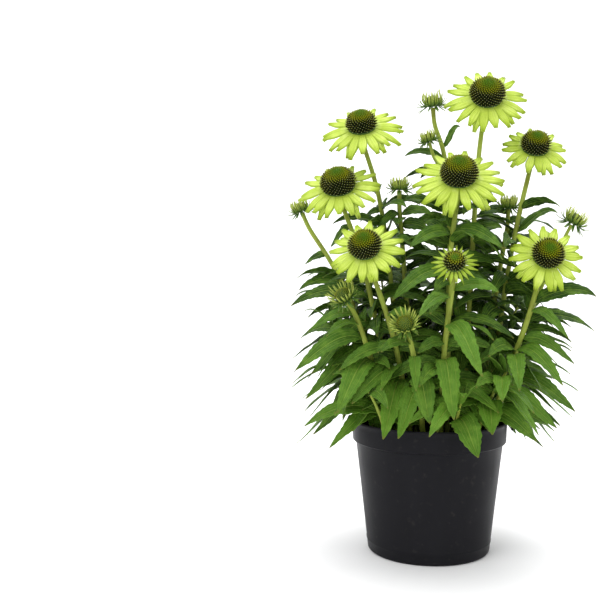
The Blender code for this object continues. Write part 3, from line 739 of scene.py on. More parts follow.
def leaf_curve(base, tip, t):
    """Point and heading at a share of the way along an arching leaf."""
    level = Vector((tip.x - base.x, tip.y - base.y, 0.0)).normalized()
    reach = (tip - base).length
    first = base + level * reach * 0.30 + UP * reach * 0.20
    second = tip - level * reach * 0.28 + UP * reach * 0.22
    s = 1.0 - t
    point = base * s**3 + first * 3 * s * s * t + second * 3 * s * t * t + tip * t**3
    ahead = (first - base) * s * s + (second - first) * 2 * s * t + (tip - second) * t * t
    return point, ahead.normalized()


def leaf_side(base, tip, face):
    """The way from a leaf's middle to its right edge, rolled towards the face it shows."""
    level = Vector((tip.y - base.y, base.x - tip.x, 0.0)).normalized()
    roll = LEAF_ROLL * level.dot(face)
    return level * math.cos(roll) - UP * math.sin(roll)


def leaf_rows(leaf, margin=0.0):
    """The rows of points of the frame's leaf, widened by a margin."""
    base, tip, width, face = leaf
    side = leaf_side(base, tip, face)
    rows = []
    stations = SMALL_LEAF_STATIONS if (tip - base).length < SMALL_LEAF else LEAF_STATIONS
    for share, wide, wave in stations:
        point, ahead = leaf_curve(base, tip, share)
        normal = side.cross(ahead).normalized()
        if wide == 0.0:
            rows.append(([point], normal))
            continue
        half = (width * wide + margin) / 2
        left = point - side * half + normal * half * (LEAF_KEEL + wave)
        right = point + side * half + normal * half * (LEAF_KEEL - wave)
        rows.append(([left, point, right], normal))
    return rows


class Crowd:
    """The shapes that are placed so far, which a new leaf has to clear."""

    def __init__(self):
        self.members = []

    def add(self, shape, owner="", is_leaf=False):
        corners, faces = shape
        low = [min(corner[i] for corner in corners) for i in range(3)]
        high = [max(corner[i] for corner in corners) for i in range(3)]
        self.members.append((low, high, BVHTree.FromPolygons(corners, faces), owner, is_leaf))

    def clears(self, shape, owner, own_leaves=False):
        """Whether a shape meets nothing of another owner, or none of its owner's leaves."""
        corners, faces = shape
        low = [min(corner[i] for corner in corners) for i in range(3)]
        high = [max(corner[i] for corner in corners) for i in range(3)]
        tree = BVHTree.FromPolygons(corners, faces)
        for other_low, other_high, other, other_owner, is_leaf in self.members:
            wanted = is_leaf and other_owner == owner if own_leaves else other_owner != owner
            if not wanted:
                continue
            if any(low[i] > other_high[i] or high[i] < other_low[i] for i in range(3)):
                continue
            if tree.overlap(other):
                return False
        return True


def fit_leaf(crowd, node, wanted, thickness=CLEAR_THICKNESS, margin=CLEAR_MARGIN):
    """The nearest leaf to the wanted one that meets nothing, or None."""
    base, tip, width, face = wanted
    arm = tip - base
    level = Vector((arm.x, arm.y, 0.0))
    tilt_axis = Vector((level.y, -level.x, 0.0)).normalized()
    for shrink in SHRINKS:
        for lift in LIFTS:
            for turn in TURNS:
                raised = Matrix.Rotation(math.radians(lift), 3, tilt_axis) @ arm
                turned = Matrix.Rotation(math.radians(turn), 3, "Z") @ raised
                leaf = (base, base + turned * shrink, width * math.sqrt(shrink), face)
                rows = leaf_rows(leaf, margin)
                whole = blade(rows, thickness)
                outer = blade(rows[1:], thickness)
                lowest = min(corner.z for corner in whole[0])
                if lowest < LEAF_FLOOR or not crowd.clears(whole, node):
                    continue
                if crowd.clears(outer, node, own_leaves=True):
                    return leaf
    return None


def wanted_by_rule(node, path, chance, closeness=1.0):
    """Leaves up a stem on a golden spiral, shorter and steeper towards the top."""
    shoot = node.startswith("shoot_")
    low = SHOOT_LOWEST if shoot else LEAF_LOWEST
    high = path[-1].z - (0.0 if shoot else LEAF_HEAD_ROOM)
    spacing = (SHOOT_SPACING if shoot else LEAF_SPACING) * closeness
    around = chance.uniform(0.0, 2 * math.pi)
    height = low
    wanted = []
    while height < high:
        share = (height - low) / max(high - low, spacing)
        length = LEAF_LONG + (LEAF_SHORT - LEAF_LONG) * share
        length *= chance.uniform(0.85, 1.1)
        rise = math.radians(-32.0 + 36.0 * share + chance.uniform(-9.0, 9.0))
        base = point_at_height(path, height)
        level = Vector((math.cos(around), math.sin(around), 0.0))
        tip = base + level * length * math.cos(rise) + UP * length * math.sin(rise)
        outward = Vector((base.x, base.y, 0.0)).normalized()
        wanted.append((base, tip, length * LEAF_WIDTH_SHARE, outward))
        around += GOLDEN_ANGLE
        height += spacing
    return wanted


def tuft(path, chance):
    """The young leaves that stand up around a shoot's tip."""
    top = path[-1]
    around = chance.uniform(0.0, 2 * math.pi)
    wanted = []
    for k in range(TUFT_LEAVES):
        rise = math.radians(62.0 - 9.0 * k)
        length = TUFT_LENGTH * (0.8 + 0.14 * k)
        level = Vector((math.cos(around), math.sin(around), 0.0))
        base = top - UP * (1.0 + 1.2 * k)
        tip = base + level * length * math.cos(rise) + UP * length * math.sin(rise)
        wanted.append((base, tip, length * LEAF_WIDTH_SHARE, level))
        around += GOLDEN_ANGLE
    return wanted


def pot_and_soil_room():
    """The room that the soil and the pot's band and lugs take, as one turned shape."""
    rim = POT_HIGH.y / MM
    top = POT_HIGH.z / MM + 1.0
    surface = SOIL_LEVEL + 2.0
    outline = [
        (0.0, STEM_FOOT),
        (rim + LUG_REACH, STEM_FOOT),
        (rim + LUG_REACH, top),
        (rim - 4.0, top),
        (rim - 4.0, surface),
        (0.0, surface),
    ]
    corners = []
    faces = []
    for k in range(ROOM_SIDES):
        angle = 2 * math.pi * k / ROOM_SIDES
        corners += [Vector((r * math.cos(angle), r * math.sin(angle), z)) for r, z in outline]
    count = len(outline)
    for k in range(ROOM_SIDES):
        a = k * count
        b = (k + 1) % ROOM_SIDES * count
        faces += [(a + i, b + i, b + i + 1, a + i + 1) for i in range(count - 1)]
    return corners, faces


def frame_shape(node):
    """The corners and faces of one of the frame's nodes, in millimetres."""
    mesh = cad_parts[node].data
    corners = [vertex.co / MM for vertex in mesh.vertices]
    return corners, [tuple(face.vertices) for face in mesh.polygons]


def crowd_of(paths):
    """The frame's stems, heads and pot, which every leaf has to clear."""
    crowd = Crowd()
    for node, path in paths.items():
        thick = STEM_THICK if node.startswith("stem_") else SHOOT_THICK
        crowd.add(tube(path, thick, thick * STEM_TAPER, ROUGH_SIDES), node)
    for stem, height, way, bud in BRANCHES:
        path = thin_out(branch_path(paths["stem_" + stem], height, way, bud))
        crowd.add(tube(path, BRANCH_THICK, BRANCH_THICK * STEM_TAPER, ROUGH_SIDES), "stem_" + stem)
    for kind, heads in (("petals_", FLOWERS), ("cone_", FLOWERS), ("bud_", BUDS)):
        for name in heads:
            crowd.add(frame_shape(kind + name))
    crowd.add(pot_and_soil_room())
    return crowd


def place_leaves():
    """Every leaf that finds room, by node: the frame's own leaves, then smaller ones between."""
    paths = {node: thin_out(path) for node, path in main_paths().items()}
    crowd = crowd_of(paths)
    leaves = {node: [] for node in paths}

    def grow(node, wanted, *clearance):
        leaf = fit_leaf(crowd, node, wanted, *clearance)
        if leaf:
            leaves[node].append(leaf)
            crowd.add(blade(leaf_rows(leaf), LEAF_THICKNESS), node, is_leaf=True)

    for node, height, tip, width in PLACED_LEAVES:
        grow(node, (point_at_height(paths[node], height), Vector(tip), width, FRONT))
    for seed, node in enumerate(sorted(paths)):
        for wanted in wanted_by_rule(node, paths[node], random.Random(seed)):
            grow(node, wanted)
    for closeness, seed, thickness, margin in FILLING:
        for offset, node in enumerate(sorted(paths)):
            chance = random.Random(seed + offset)
            for wanted in wanted_by_rule(node, paths[node], chance, closeness):
                grow(node, wanted, thickness, margin)
    for node, height, tip, width in INNER_LEAVES:
        wanted = (point_at_height(paths[node], height), Vector(tip), width, FRONT)
        grow(node, wanted, *INNER_CLEARANCE)
    for offset, name in enumerate(SHOOTS):
        node = "shoot_" + name
        for wanted in tuft(paths[node], random.Random(900 + offset)):
            grow(node, wanted, *TUFT_CLEARANCE)
    return leaves


def is_left_out(leaf):
    """Whether a leaf set by rule hangs over the pot's face, stands too high or hides a bud."""
    base, tip, width, _ = leaf
    if base.z > LEAF_HIGHEST or (tip.z < POT_FACE_TOP and tip.y < POT_FACE_FRONT):
        return True
    for at, _, _, radius, _ in BUDS.values():
        for share in (0.2, 0.4, 0.6, 0.8, 1.0):
            spot = leaf_curve(base, tip, share)[0]
            apart = math.hypot(spot.x - at[0], spot.z - at[2])
            if spot.y < at[1] and apart < radius + width / 2:
                return True
    return False


# Modelling helpers


def select_nothing():
    """Leave edit mode and deselect all objects."""
    if bpy.context.mode != "OBJECT":
        bpy.ops.object.mode_set(mode="OBJECT")
    bpy.ops.object.select_all(action="DESELECT")


def edit_all():
    """Enter edit mode with the whole mesh selected."""
    bpy.ops.object.mode_set(mode="EDIT")
    bpy.ops.mesh.select_all(action="SELECT")


def make_active(made):
    """Select one object alone."""
    select_nothing()
    made.select_set(True)
    bpy.context.view_layer.objects.active = made


class Master:
    """A shape that is modelled once, with a place on its pattern for each corner."""

    def __init__(self, made, pattern):
        mesh = made.data
        self.corners = np.array([vertex.co for vertex in mesh.vertices])
        self.faces = [tuple(face.vertices) for face in mesh.polygons]
        self.pattern = np.array([pattern(corner) for corner in self.corners])
        bpy.data.objects.remove(made)


class Sheet(Master):
    """A thin sheet, from -1 to 1 across, from 0 to 1 along and one thick."""

    def __init__(self, across, along):
        select_nothing()
        bpy.ops.mesh.primitive_grid_add(x_subdivisions=across, y_subdivisions=along, size=2.0)
        made = bpy.context.object
        edit_all()
        bpy.ops.transform.translate(value=(0.0, 1.0, 0.0))
        bpy.ops.transform.resize(value=(1.0, 0.5, 1.0), center_override=(0.0, 0.0, 0.0))
        bpy.ops.object.mode_set(mode="OBJECT")
        solid = made.modifiers.new("Thickness", "SOLIDIFY")
        solid.thickness = 1.0
        solid.offset = 0.0
        bpy.ops.object.modifier_apply(modifier=solid.name)
        super().__init__(made, lambda corner: (corner[0] / 2 + 0.5, corner[1]))
        self.along = along
        self.row = np.rint(self.corners[:, 1] * along).astype(int)

    def laid(self, middles, sides, normals, across, height):
        """The sheet's corners on a strip of middles, at their widths and heights."""
        return (
            np.array(middles)[self.row]
            + np.array(sides)[self.row] * across[:, None]
            + np.array(normals)[self.row] * height[:, None]
        )


def stem_master(path, thick, taper):
    """A smooth stem along its path, which thins upward and swells a little under its head."""
    select_nothing()
    line = bpy.data.curves.new("stem", "CURVE")
    line.dimensions = "3D"
    line.bevel_depth = 1.0
    line.bevel_resolution = 4
    line.use_fill_caps = True
    spline = line.splines.new("POLY")
    spline.points.add(len(path) - 1)
    for i, (point, spot) in enumerate(zip(spline.points, path)):
        share = i / (len(path) - 1)
        point.co = (*spot, 1.0)
        point.radius = thick * (1.0 + (taper - 1.0) * share + 0.14 * step_up(share * 9.0 - 8.0))
    made = bpy.data.objects.new("stem", line)
    bpy.context.scene.collection.objects.link(made)
    make_active(made)
    bpy.ops.object.convert(target="MESH")
    edit_all()
    bpy.ops.mesh.remove_doubles(threshold=0.01)
    bpy.ops.object.mode_set(mode="OBJECT")
    return Master(made, lambda corner: (0.5, 0.5))


def floret_master():
    """A five-sided spine of one in height, fullest below its middle."""
    select_nothing()
    bpy.ops.mesh.primitive_cone_add(
        vertices=5, radius1=0.85, radius2=0.18, depth=1.0, location=(0.0, 0.0, 0.5)
    )
    made = bpy.context.object
    bpy.ops.object.transform_apply(location=True, rotation=True, scale=True)
    edit_all()
    bpy.ops.mesh.bisect(plane_co=(0.0, 0.0, 0.4), plane_no=(0.0, 0.0, 1.0))
    bpy.ops.transform.resize(value=(1.5, 1.5, 1.0), center_override=(0.0, 0.0, 0.4))
    bpy.ops.object.mode_set(mode="OBJECT")
    return Master(made, lambda corner: (0.5, corner[2]))


def dome_master(reach):
    """A dome of one in radius and height that closes at an angle from its top."""
    select_nothing()
    bpy.ops.mesh.primitive_uv_sphere_add(segments=32, ring_count=18, radius=1.0)
    made = bpy.context.object
    edit_all()
    bpy.ops.mesh.bisect(
        plane_co=(0.0, 0.0, math.cos(reach)),
        plane_no=(0.0, 0.0, 1.0),
        clear_inner=True,
        use_fill=True,
    )
    bpy.ops.object.mode_set(mode="OBJECT")
    return Master(made, lambda corner: (0.5, 0.0))


def crumb_master():
    """A lump of twenty faces."""
    select_nothing()
    bpy.ops.mesh.primitive_ico_sphere_add(subdivisions=1, radius=1.0)
    made = bpy.context.object
    edit_all()
    bpy.ops.transform.resize(value=(1.0, 0.8, 0.65))
    bpy.ops.object.mode_set(mode="OBJECT")
    return Master(made, lambda corner: (0.5, 0.5))


class Growth:
    """Copies of masters, each with its own corners, gathered into one mesh."""

    def __init__(self):
        self.corners = []
        self.faces = []
        self.pattern = []
        self.tones = []
        self.surfaces = []
        self.count = 0

    def copy(self, master, corners, tone, surface=0):
        """One copy of a master, with its corners in their places."""
        self.corners.append(corners)
        self.faces += [tuple(self.count + k for k in face) for face in master.faces]
        self.pattern.append(master.pattern)
        self.tones.append(np.full(len(corners), tone))
        self.surfaces += [surface] * len(master.faces)
        self.count += len(corners)

    def set_in(self, master, matrix, tone, surface=0):
        """One copy of a master, with its corners moved by a matrix."""
        self.copy(master, moved(master.corners, matrix), tone, surface)

    def finish(self, name, surfaces, crease=50.0):
        """One object with the materials, its pattern as a UV map and its tone as an attribute."""
        mesh = bpy.data.meshes.new(name)
        mesh.from_pydata(np.concatenate(self.corners) * MM, [], self.faces)
        for surface in surfaces:
            mesh.materials.append(surface)
        mesh.polygons.foreach_set("material_index", self.surfaces)
        loops = np.empty(len(mesh.loops), np.int32)
        mesh.loops.foreach_get("vertex_index", loops)
        grain = mesh.uv_layers.new(name="Grain")
        grain.data.foreach_set("uv", np.concatenate(self.pattern)[loops].ravel())
        tone = mesh.attributes.new("tone", "FLOAT", "POINT")
        tone.data.foreach_set("value", np.concatenate(self.tones))
        made = bpy.data.objects.new(name, mesh)
        bpy.context.scene.collection.objects.link(made)
        make_active(made)
        edit_all()
        bpy.ops.mesh.normals_make_consistent(inside=False)
        bpy.ops.object.mode_set(mode="OBJECT")
        bpy.ops.object.shade_smooth_by_angle(angle=math.radians(crease))
        return made


def moved(corners, matrix):
    """Corners moved by a matrix."""
    turn = np.array(matrix.to_3x3())
    return corners @ turn.T + np.array(matrix.translation)


def joined(parts):
    """The parts as one object, the first of them."""
    select_nothing()
    for part in parts:
        part.select_set(True)
    bpy.context.view_layer.objects.active = parts[0]
    bpy.ops.object.join()
    return parts[0]


def raised(name, outline, sides):
    """A round closed body, extruded ring by ring from its underside along an outline."""
    select_nothing()
    radius, height = outline[0]
    bpy.ops.mesh.primitive_circle_add(
        vertices=sides, radius=radius * MM, fill_type="NGON", location=(0.0, 0.0, height * MM)
    )
    made = bpy.context.object
    made.name = name
    bpy.ops.object.transform_apply(location=True, rotation=True, scale=True)
    edit_all()
    for wide, high in outline[1:]:
        bpy.ops.mesh.extrude_region_move(
            TRANSFORM_OT_translate={"value": (0.0, 0.0, (high - height) * MM)}
        )
        ratio = wide / radius
        bpy.ops.transform.resize(value=(ratio, ratio, 1.0), center_override=(0.0, 0.0, high * MM))
        radius, height = wide, high
    bpy.ops.mesh.select_all(action="SELECT")
    bpy.ops.mesh.normals_make_consistent(inside=False)
    bpy.ops.object.mode_set(mode="OBJECT")
    return made


def step_up(share):
    """A smooth rise from 0 to 1 as the share goes from 0 to 1."""
    share = min(max(share, 0.0), 1.0)
    return share * share * (3.0 - 2.0 * share)


def stands_for(made, slot, *nodes):
    """The object rides on the frame in place of nodes, which it hides; the material slot is not
    used.
    """
    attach(made, "root")
    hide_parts(*nodes)


# Materials

COLOUR = {"data_type": "RGBA"}
SMOOTH = {"interpolation_type": "SMOOTHSTEP"}
TIMES = {"operation": "MULTIPLY"}


def node(tree, kind, settings=None, feeds=None, stops=()):
    """Add a shader node with its settings and colour stops, and set or link what feeds it."""
    made = tree.nodes.new(kind)
    for key, value in (settings or {}).items():
        setattr(made, key, value)
    for key, value in (feeds or {}).items():
        if isinstance(value, bpy.types.NodeSocket):
            tree.links.new(value, made.inputs[key])
        else:
            made.inputs[key].default_value = value
    for i, (place, colour) in enumerate(stops):
        elements = made.color_ramp.elements
        stop = elements[i] if i < 2 else elements.new(place)
        stop.position = place
        stop.color = (*colour, 1.0)
    return made


def new_material(name):
    """A material with its tree, its shader, and the place on the object that patterns follow."""
    made = bpy.data.materials.new(name)
    made.use_nodes = True
    tree = made.node_tree
    spot = node(tree, "ShaderNodeTexCoord").outputs["Object"]
    return made, tree, tree.nodes["Principled BSDF"], spot


def petal_material(colours):
    """Living ray petal, grown."""
    # Matt, deeper green at the throat, with long veins in relief
    made, tree, shader, spot = new_material("grown_ray_petal")
    grain = node(tree, "ShaderNodeUVMap", {"uv_map": "Grain"}).outputs[0]
    axes = node(tree, "ShaderNodeSeparateXYZ", {}, {0: grain})
    body = node(
        tree,
        "ShaderNodeValToRGB",
        {},
        {0: axes.outputs["Y"]},
        [
            (0.0, colours.ray_throat),
            (0.26, colours.ray),
            (0.60, linear("#CFE26A")),
            (0.86, linear("#B2CA44")),
            (1.0, linear("#8E9C34")),
        ],
    ).outputs[0]
    # Four veins across a petal of 8 mm, coarser than real ones so that they show
    wide = node(tree, "ShaderNodeMath", TIMES, {0: axes.outputs["X"], 1: 25.0}).outputs[0]
    veins = node(tree, "ShaderNodeMath", {"operation": "SINE"}, {0: wide}).outputs[0]
    drawn = node(
        tree, "ShaderNodeMapRange", SMOOTH, {0: veins, 1: 0.2, 2: 1.0, 3: 0.0, 4: 0.28}
    ).outputs[0]
    veined = node(
        tree, "ShaderNodeMix", COLOUR, {0: drawn, 6: body, 7: (*linear("#9CB52F"), 1.0)}
    ).outputs[2]
    blots = node(tree, "ShaderNodeTexNoise", {}, {"Vector": spot, "Scale": 110.0}).outputs[0]
    pale = node(
        tree, "ShaderNodeMapRange", SMOOTH, {0: blots, 1: 0.45, 2: 0.75, 3: 0.0, 4: 0.45}
    ).outputs[0]
    mottled = node(
        tree, "ShaderNodeMix", COLOUR, {0: pale, 6: veined, 7: (*linear("#DDEB8C"), 1.0)}
    ).outputs[2]
    # Painted shade along both edges: a deeper green where each petal meets the next, which sets
    # each petal off from it
    off_middle = node(
        tree, "ShaderNodeMath", {"operation": "SUBTRACT"}, {0: axes.outputs["X"], 1: 0.5}
    ).outputs[0]
    from_middle = node(
        tree, "ShaderNodeMath", {"operation": "ABSOLUTE"}, {0: off_middle}
    ).outputs[0]
    rim = node(
        tree, "ShaderNodeMapRange", SMOOTH, {0: from_middle, 1: 0.34, 2: 0.5, 3: 0.0, 4: 0.8}
    ).outputs[0]
    edge_shaded = node(
        tree, "ShaderNodeMix", COLOUR, {0: rim, 6: mottled, 7: (*linear("#86A022"), 1.0)}
    ).outputs[2]
    tone = node(tree, "ShaderNodeAttribute", {"attribute_name": "tone"}).outputs["Fac"]
    deeper = node(tree, "ShaderNodeMath", TIMES, {0: tone, 1: 0.6}).outputs[0]
    final = node(
        tree, "ShaderNodeMix", COLOUR, {0: deeper, 6: edge_shaded, 7: (*linear("#AAC23A"), 1.0)}
    ).outputs[2]
    tree.links.new(final, shader.inputs["Base Color"])
    shader.inputs["Roughness"].default_value = 0.6
    shader.inputs["IOR"].default_value = 1.4
    shader.inputs["Specular IOR Level"].default_value = 0.3
    relief = node(tree, "ShaderNodeBump", {}, {"Height": veins, "Distance": 0.00005})
    tree.links.new(relief.outputs[0], shader.inputs["Normal"])
    return made


def leaf_material(colours):
    """Living leaf, grown."""
    # Dull green with a faint wax gloss, paler veins from root to tip, and a quilted face
    made, tree, shader, spot = new_material("grown_leaf_blade")
    grain = node(tree, "ShaderNodeUVMap", {"uv_map": "Grain"}).outputs[0]
    axes = node(tree, "ShaderNodeSeparateXYZ", {}, {0: grain})
    tone = node(tree, "ShaderNodeAttribute", {"attribute_name": "tone"}).outputs["Fac"]
    # Painted light and shade: the tone mixes from the shaded green to the lit green, by where the
    # leaf stands, with a random spread
    body = node(
        tree,
        "ShaderNodeMix",
        COLOUR,
        {0: tone, 6: (*colours.shaded_leaf, 1.0), 7: (*colours.leaf, 1.0)},
    ).outputs[2]
    blots = node(
        tree, "ShaderNodeTexNoise", {}, {"Vector": spot, "Scale": 120.0, "Detail": 4.0}
    ).outputs[0]
    pale = node(
        tree, "ShaderNodeMapRange", SMOOTH, {0: blots, 1: 0.4, 2: 0.75, 3: 0.0, 4: 0.6}
    ).outputs[0]
    mottled = node(
        tree, "ShaderNodeMix", COLOUR, {0: pale, 6: body, 7: (*linear("#6E9430"), 1.0)}
    ).outputs[2]
    off_middle = node(
        tree, "ShaderNodeMath", {"operation": "SUBTRACT"}, {0: axes.outputs["X"], 1: 0.5}
    ).outputs[0]
    # Five veins: the midrib, and two on each side of it that a pingpong of the width repeats
    repeat = node(
        tree, "ShaderNodeMath", {"operation": "PINGPONG"}, {0: off_middle, 1: 0.085}
    ).outputs[0]
    side_veins = node(
        tree, "ShaderNodeMapRange", SMOOTH, {0: repeat, 1: 0.0, 2: 0.024, 3: 0.65, 4: 0.0}
    ).outputs[0]
    from_middle = node(
        tree, "ShaderNodeMath", {"operation": "ABSOLUTE"}, {0: off_middle}
    ).outputs[0]
    midrib = node(
        tree, "ShaderNodeMapRange", SMOOTH, {0: from_middle, 1: 0.012, 2: 0.045, 3: 1.0, 4: 0.0}
    ).outputs[0]
    veins = node(
        tree, "ShaderNodeMath", {"operation": "MAXIMUM"}, {0: midrib, 1: side_veins}
    ).outputs[0]
    drawn = node(tree, "ShaderNodeMath", TIMES, {0: veins, 1: 0.75}).outputs[0]
    veined = node(
        tree, "ShaderNodeMix", COLOUR, {0: drawn, 6: mottled, 7: (*linear("#86A342"), 1.0)}
    ).outputs[2]
    worn = node(
        tree,
        "ShaderNodeMapRange",
        SMOOTH,
        {0: axes.outputs["Y"], 1: 0.94, 2: 1.0, 3: 0.0, 4: 0.7},
    ).outputs[0]
    final = node(
        tree, "ShaderNodeMix", COLOUR, {0: worn, 6: veined, 7: (*linear("#7A7434"), 1.0)}
    ).outputs[2]
    tree.links.new(final, shader.inputs["Base Color"])
    wax = node(tree, "ShaderNodeTexNoise", {}, {"Vector": spot, "Scale": 250.0}).outputs[0]
    gloss = node(
        tree, "ShaderNodeMapRange", {}, {0: wax, 1: 0.3, 2: 0.7, 3: 0.46, 4: 0.64}
    ).outputs[0]
    tree.links.new(gloss, shader.inputs["Roughness"])
    shader.inputs["IOR"].default_value = 1.42
    shader.inputs["Specular IOR Level"].default_value = 0.2
    # The net of small veins has cells of about 2 mm
    cells = node(
        tree,
        "ShaderNodeTexVoronoi",
        {"feature": "SMOOTH_F1"},
        {"Vector": spot, "Scale": 480.0},
    ).outputs[0]
    quilt = node(
        tree, "ShaderNodeMath", {"operation": "SUBTRACT"}, {0: cells, 1: veins}
    ).outputs[0]
    relief = node(tree, "ShaderNodeBump", {}, {"Height": quilt, "Distance": 0.0005})
    tree.links.new(relief.outputs[0], shader.inputs["Normal"])
    return made


def stem_material(colours):
    """Living stem, grown."""
    # Yellow-green with long ridges about 1 mm apart, and a rust-brown flush in places
    made, tree, shader, spot = new_material("grown_ribbed_stem")
    drawn_out = node(
        tree, "ShaderNodeMapping", {}, {"Vector": spot, "Scale": (1.0, 1.0, 0.06)}
    ).outputs[0]
    streaks = node(
        tree, "ShaderNodeTexNoise", {}, {"Vector": drawn_out, "Scale": 900.0}
    ).outputs[0]
    body = node(
        tree,
        "ShaderNodeMix",
        COLOUR,
        {0: streaks, 6: (*colours.stem, 1.0), 7: (*linear("#A9B850"), 1.0)},
    ).outputs[2]
    blush = node(
        tree, "ShaderNodeTexNoise", {}, {"Vector": spot, "Scale": 40.0, "Detail": 3.0}
    ).outputs[0]
    flush = node(
        tree, "ShaderNodeMapRange", SMOOTH, {0: blush, 1: 0.42, 2: 0.72, 3: 0.0, 4: 0.45}
    ).outputs[0]
    final = node(
        tree, "ShaderNodeMix", COLOUR, {0: flush, 6: body, 7: (*linear("#6B6524"), 1.0)}
    ).outputs[2]
    tree.links.new(final, shader.inputs["Base Color"])
    shader.inputs["Roughness"].default_value = 0.55
    shader.inputs["IOR"].default_value = 1.42
    shader.inputs["Specular IOR Level"].default_value = 0.3
    relief = node(tree, "ShaderNodeBump", {}, {"Height": streaks, "Distance": 0.0003})
    tree.links.new(relief.outputs[0], shader.inputs["Normal"])
    return made


def spine_material(colours):
    """Stiff chaff spine, grown."""
    # Black at its foot as painted shade, where the crowded spines shade one another, olive on its
    # side and pale at its tip, and plain green near the top of the cone, where the spines are
    # still short and close
    made, tree, shader, spot = new_material("grown_chaff_spine")
    grain = node(tree, "ShaderNodeUVMap", {"uv_map": "Grain"}).outputs[0]
    axes = node(tree, "ShaderNodeSeparateXYZ", {}, {0: grain})
    tone = node(tree, "ShaderNodeAttribute", {"attribute_name": "tone"}).outputs["Fac"]
    # Painted shade: the lower half of each spine is near-black, for the shade among the crowded
    # spines
    low = node(
        tree,
        "ShaderNodeValToRGB",
        {},
        {0: axes.outputs["Y"]},
        [
            (0.0, linear("#060802")),
            (0.50, linear("#141A05")),
            (0.76, colours.spine),
            (0.90, linear("#B4BA62")),
            (1.0, linear("#E2E7C6")),
        ],
    ).outputs[0]
    crown = node(
        tree,
        "ShaderNodeValToRGB",
        {},
        {0: tone},
        [
            (0.0, linear("#4F7A12")),
            (0.05, linear("#66840E")),
            (0.16, linear("#8A900F")),
        ],
    ).outputs[0]
    # Painted shade: the short spines near the top darken towards their foot too
    foot = node(
        tree,
        "ShaderNodeMapRange",
        SMOOTH,
        {0: axes.outputs["Y"], 1: 0.1, 2: 0.8, 3: 0.75, 4: 0.0},
    ).outputs[0]
    high = node(
        tree, "ShaderNodeMix", COLOUR, {0: foot, 6: crown, 7: (*linear("#131C06"), 1.0)}
    ).outputs[2]
    opened = node(
        tree, "ShaderNodeMapRange", SMOOTH, {0: tone, 1: 0.20, 2: 0.42, 3: 0.0, 4: 1.0}
    ).outputs[0]
    both = node(tree, "ShaderNodeMix", COLOUR, {0: opened, 6: high, 7: low}).outputs[2]
    flecks = node(tree, "ShaderNodeTexNoise", {}, {"Vector": spot, "Scale": 350.0}).outputs[0]
    rusty = node(
        tree, "ShaderNodeMapRange", SMOOTH, {0: flecks, 1: 0.45, 2: 0.75, 3: 0.0, 4: 0.35}
    ).outputs[0]
    final = node(
        tree, "ShaderNodeMix", COLOUR, {0: rusty, 6: both, 7: (*linear("#7C6A10"), 1.0)}
    ).outputs[2]
    tree.links.new(final, shader.inputs["Base Color"])
    shader.inputs["Roughness"].default_value = 0.45
    shader.inputs["IOR"].default_value = 1.45
    shader.inputs["Specular IOR Level"].default_value = 0.3
    relief = node(tree, "ShaderNodeBump", {}, {"Height": flecks, "Distance": 0.0002})
    tree.links.new(relief.outputs[0], shader.inputs["Normal"])
    return made


def disc_material():
    """The cone's flesh under its spines, grown."""
    # Painted shade: near-black and matt, so that the gaps between the spines read as the black
    # shade among them
    made, tree, shader, spot = new_material("grown_cone_flesh")
    blots = node(
        tree, "ShaderNodeTexNoise", {}, {"Vector": spot, "Scale": 500.0, "Detail": 3.0}
    ).outputs[0]
    final = node(
        tree,
        "ShaderNodeValToRGB",
        {},
        {0: blots},
        [(0.3, linear("#070903")), (0.7, linear("#1C2608"))],
    ).outputs[0]
    tree.links.new(final, shader.inputs["Base Color"])
    shader.inputs["Roughness"].default_value = 0.85
    shader.inputs["Specular IOR Level"].default_value = 0.1
    relief = node(tree, "ShaderNodeBump", {}, {"Height": blots, "Distance": 0.0004})
    tree.links.new(relief.outputs[0], shader.inputs["Normal"])
    return made


def bract_material(colours):
    """Green bract and young ray, grown."""
    # Dull and finely streaked: bracts are green with a dark root and a brown tip, and young
    # rays are pale with a yellow tip
    made, tree, shader, spot = new_material("grown_green_bract")
    grain = node(tree, "ShaderNodeUVMap", {"uv_map": "Grain"}).outputs[0]
    axes = node(tree, "ShaderNodeSeparateXYZ", {}, {0: grain})
    tone = node(tree, "ShaderNodeAttribute", {"attribute_name": "tone"}).outputs["Fac"]
    green = node(
        tree,
        "ShaderNodeValToRGB",
        {},
        {0: axes.outputs["Y"]},
        [
            (0.0, linear("#34501A")),
            (0.40, colours.bract),
            (0.80, linear("#6F8A36")),
            (1.0, linear("#5E5226")),
        ],
    ).outputs[0]
    pale = node(
        tree,
        "ShaderNodeValToRGB",
        {},
        {0: axes.outputs["Y"]},
        [
            (0.0, linear("#5B7420")),
            (0.35, linear("#A3B24A")),
            (0.80, linear("#C9D66A")),
            (1.0, linear("#A9B24E")),
        ],
    ).outputs[0]
    body = node(tree, "ShaderNodeMix", COLOUR, {0: tone, 6: green, 7: pale}).outputs[2]
    streaks = node(tree, "ShaderNodeTexNoise", {}, {"Vector": spot, "Scale": 650.0}).outputs[0]
    darker = node(
        tree, "ShaderNodeMapRange", SMOOTH, {0: streaks, 1: 0.4, 2: 0.7, 3: 0.0, 4: 0.4}
    ).outputs[0]
    final = node(
        tree, "ShaderNodeMix", COLOUR, {0: darker, 6: body, 7: (*linear("#39561C"), 1.0)}
    ).outputs[2]
    tree.links.new(final, shader.inputs["Base Color"])
    shader.inputs["Roughness"].default_value = 0.55
    shader.inputs["IOR"].default_value = 1.42
    shader.inputs["Specular IOR Level"].default_value = 0.3
    relief = node(tree, "ShaderNodeBump", {}, {"Height": streaks, "Distance": 0.0002})
    tree.links.new(relief.outputs[0], shader.inputs["Normal"])
    return made


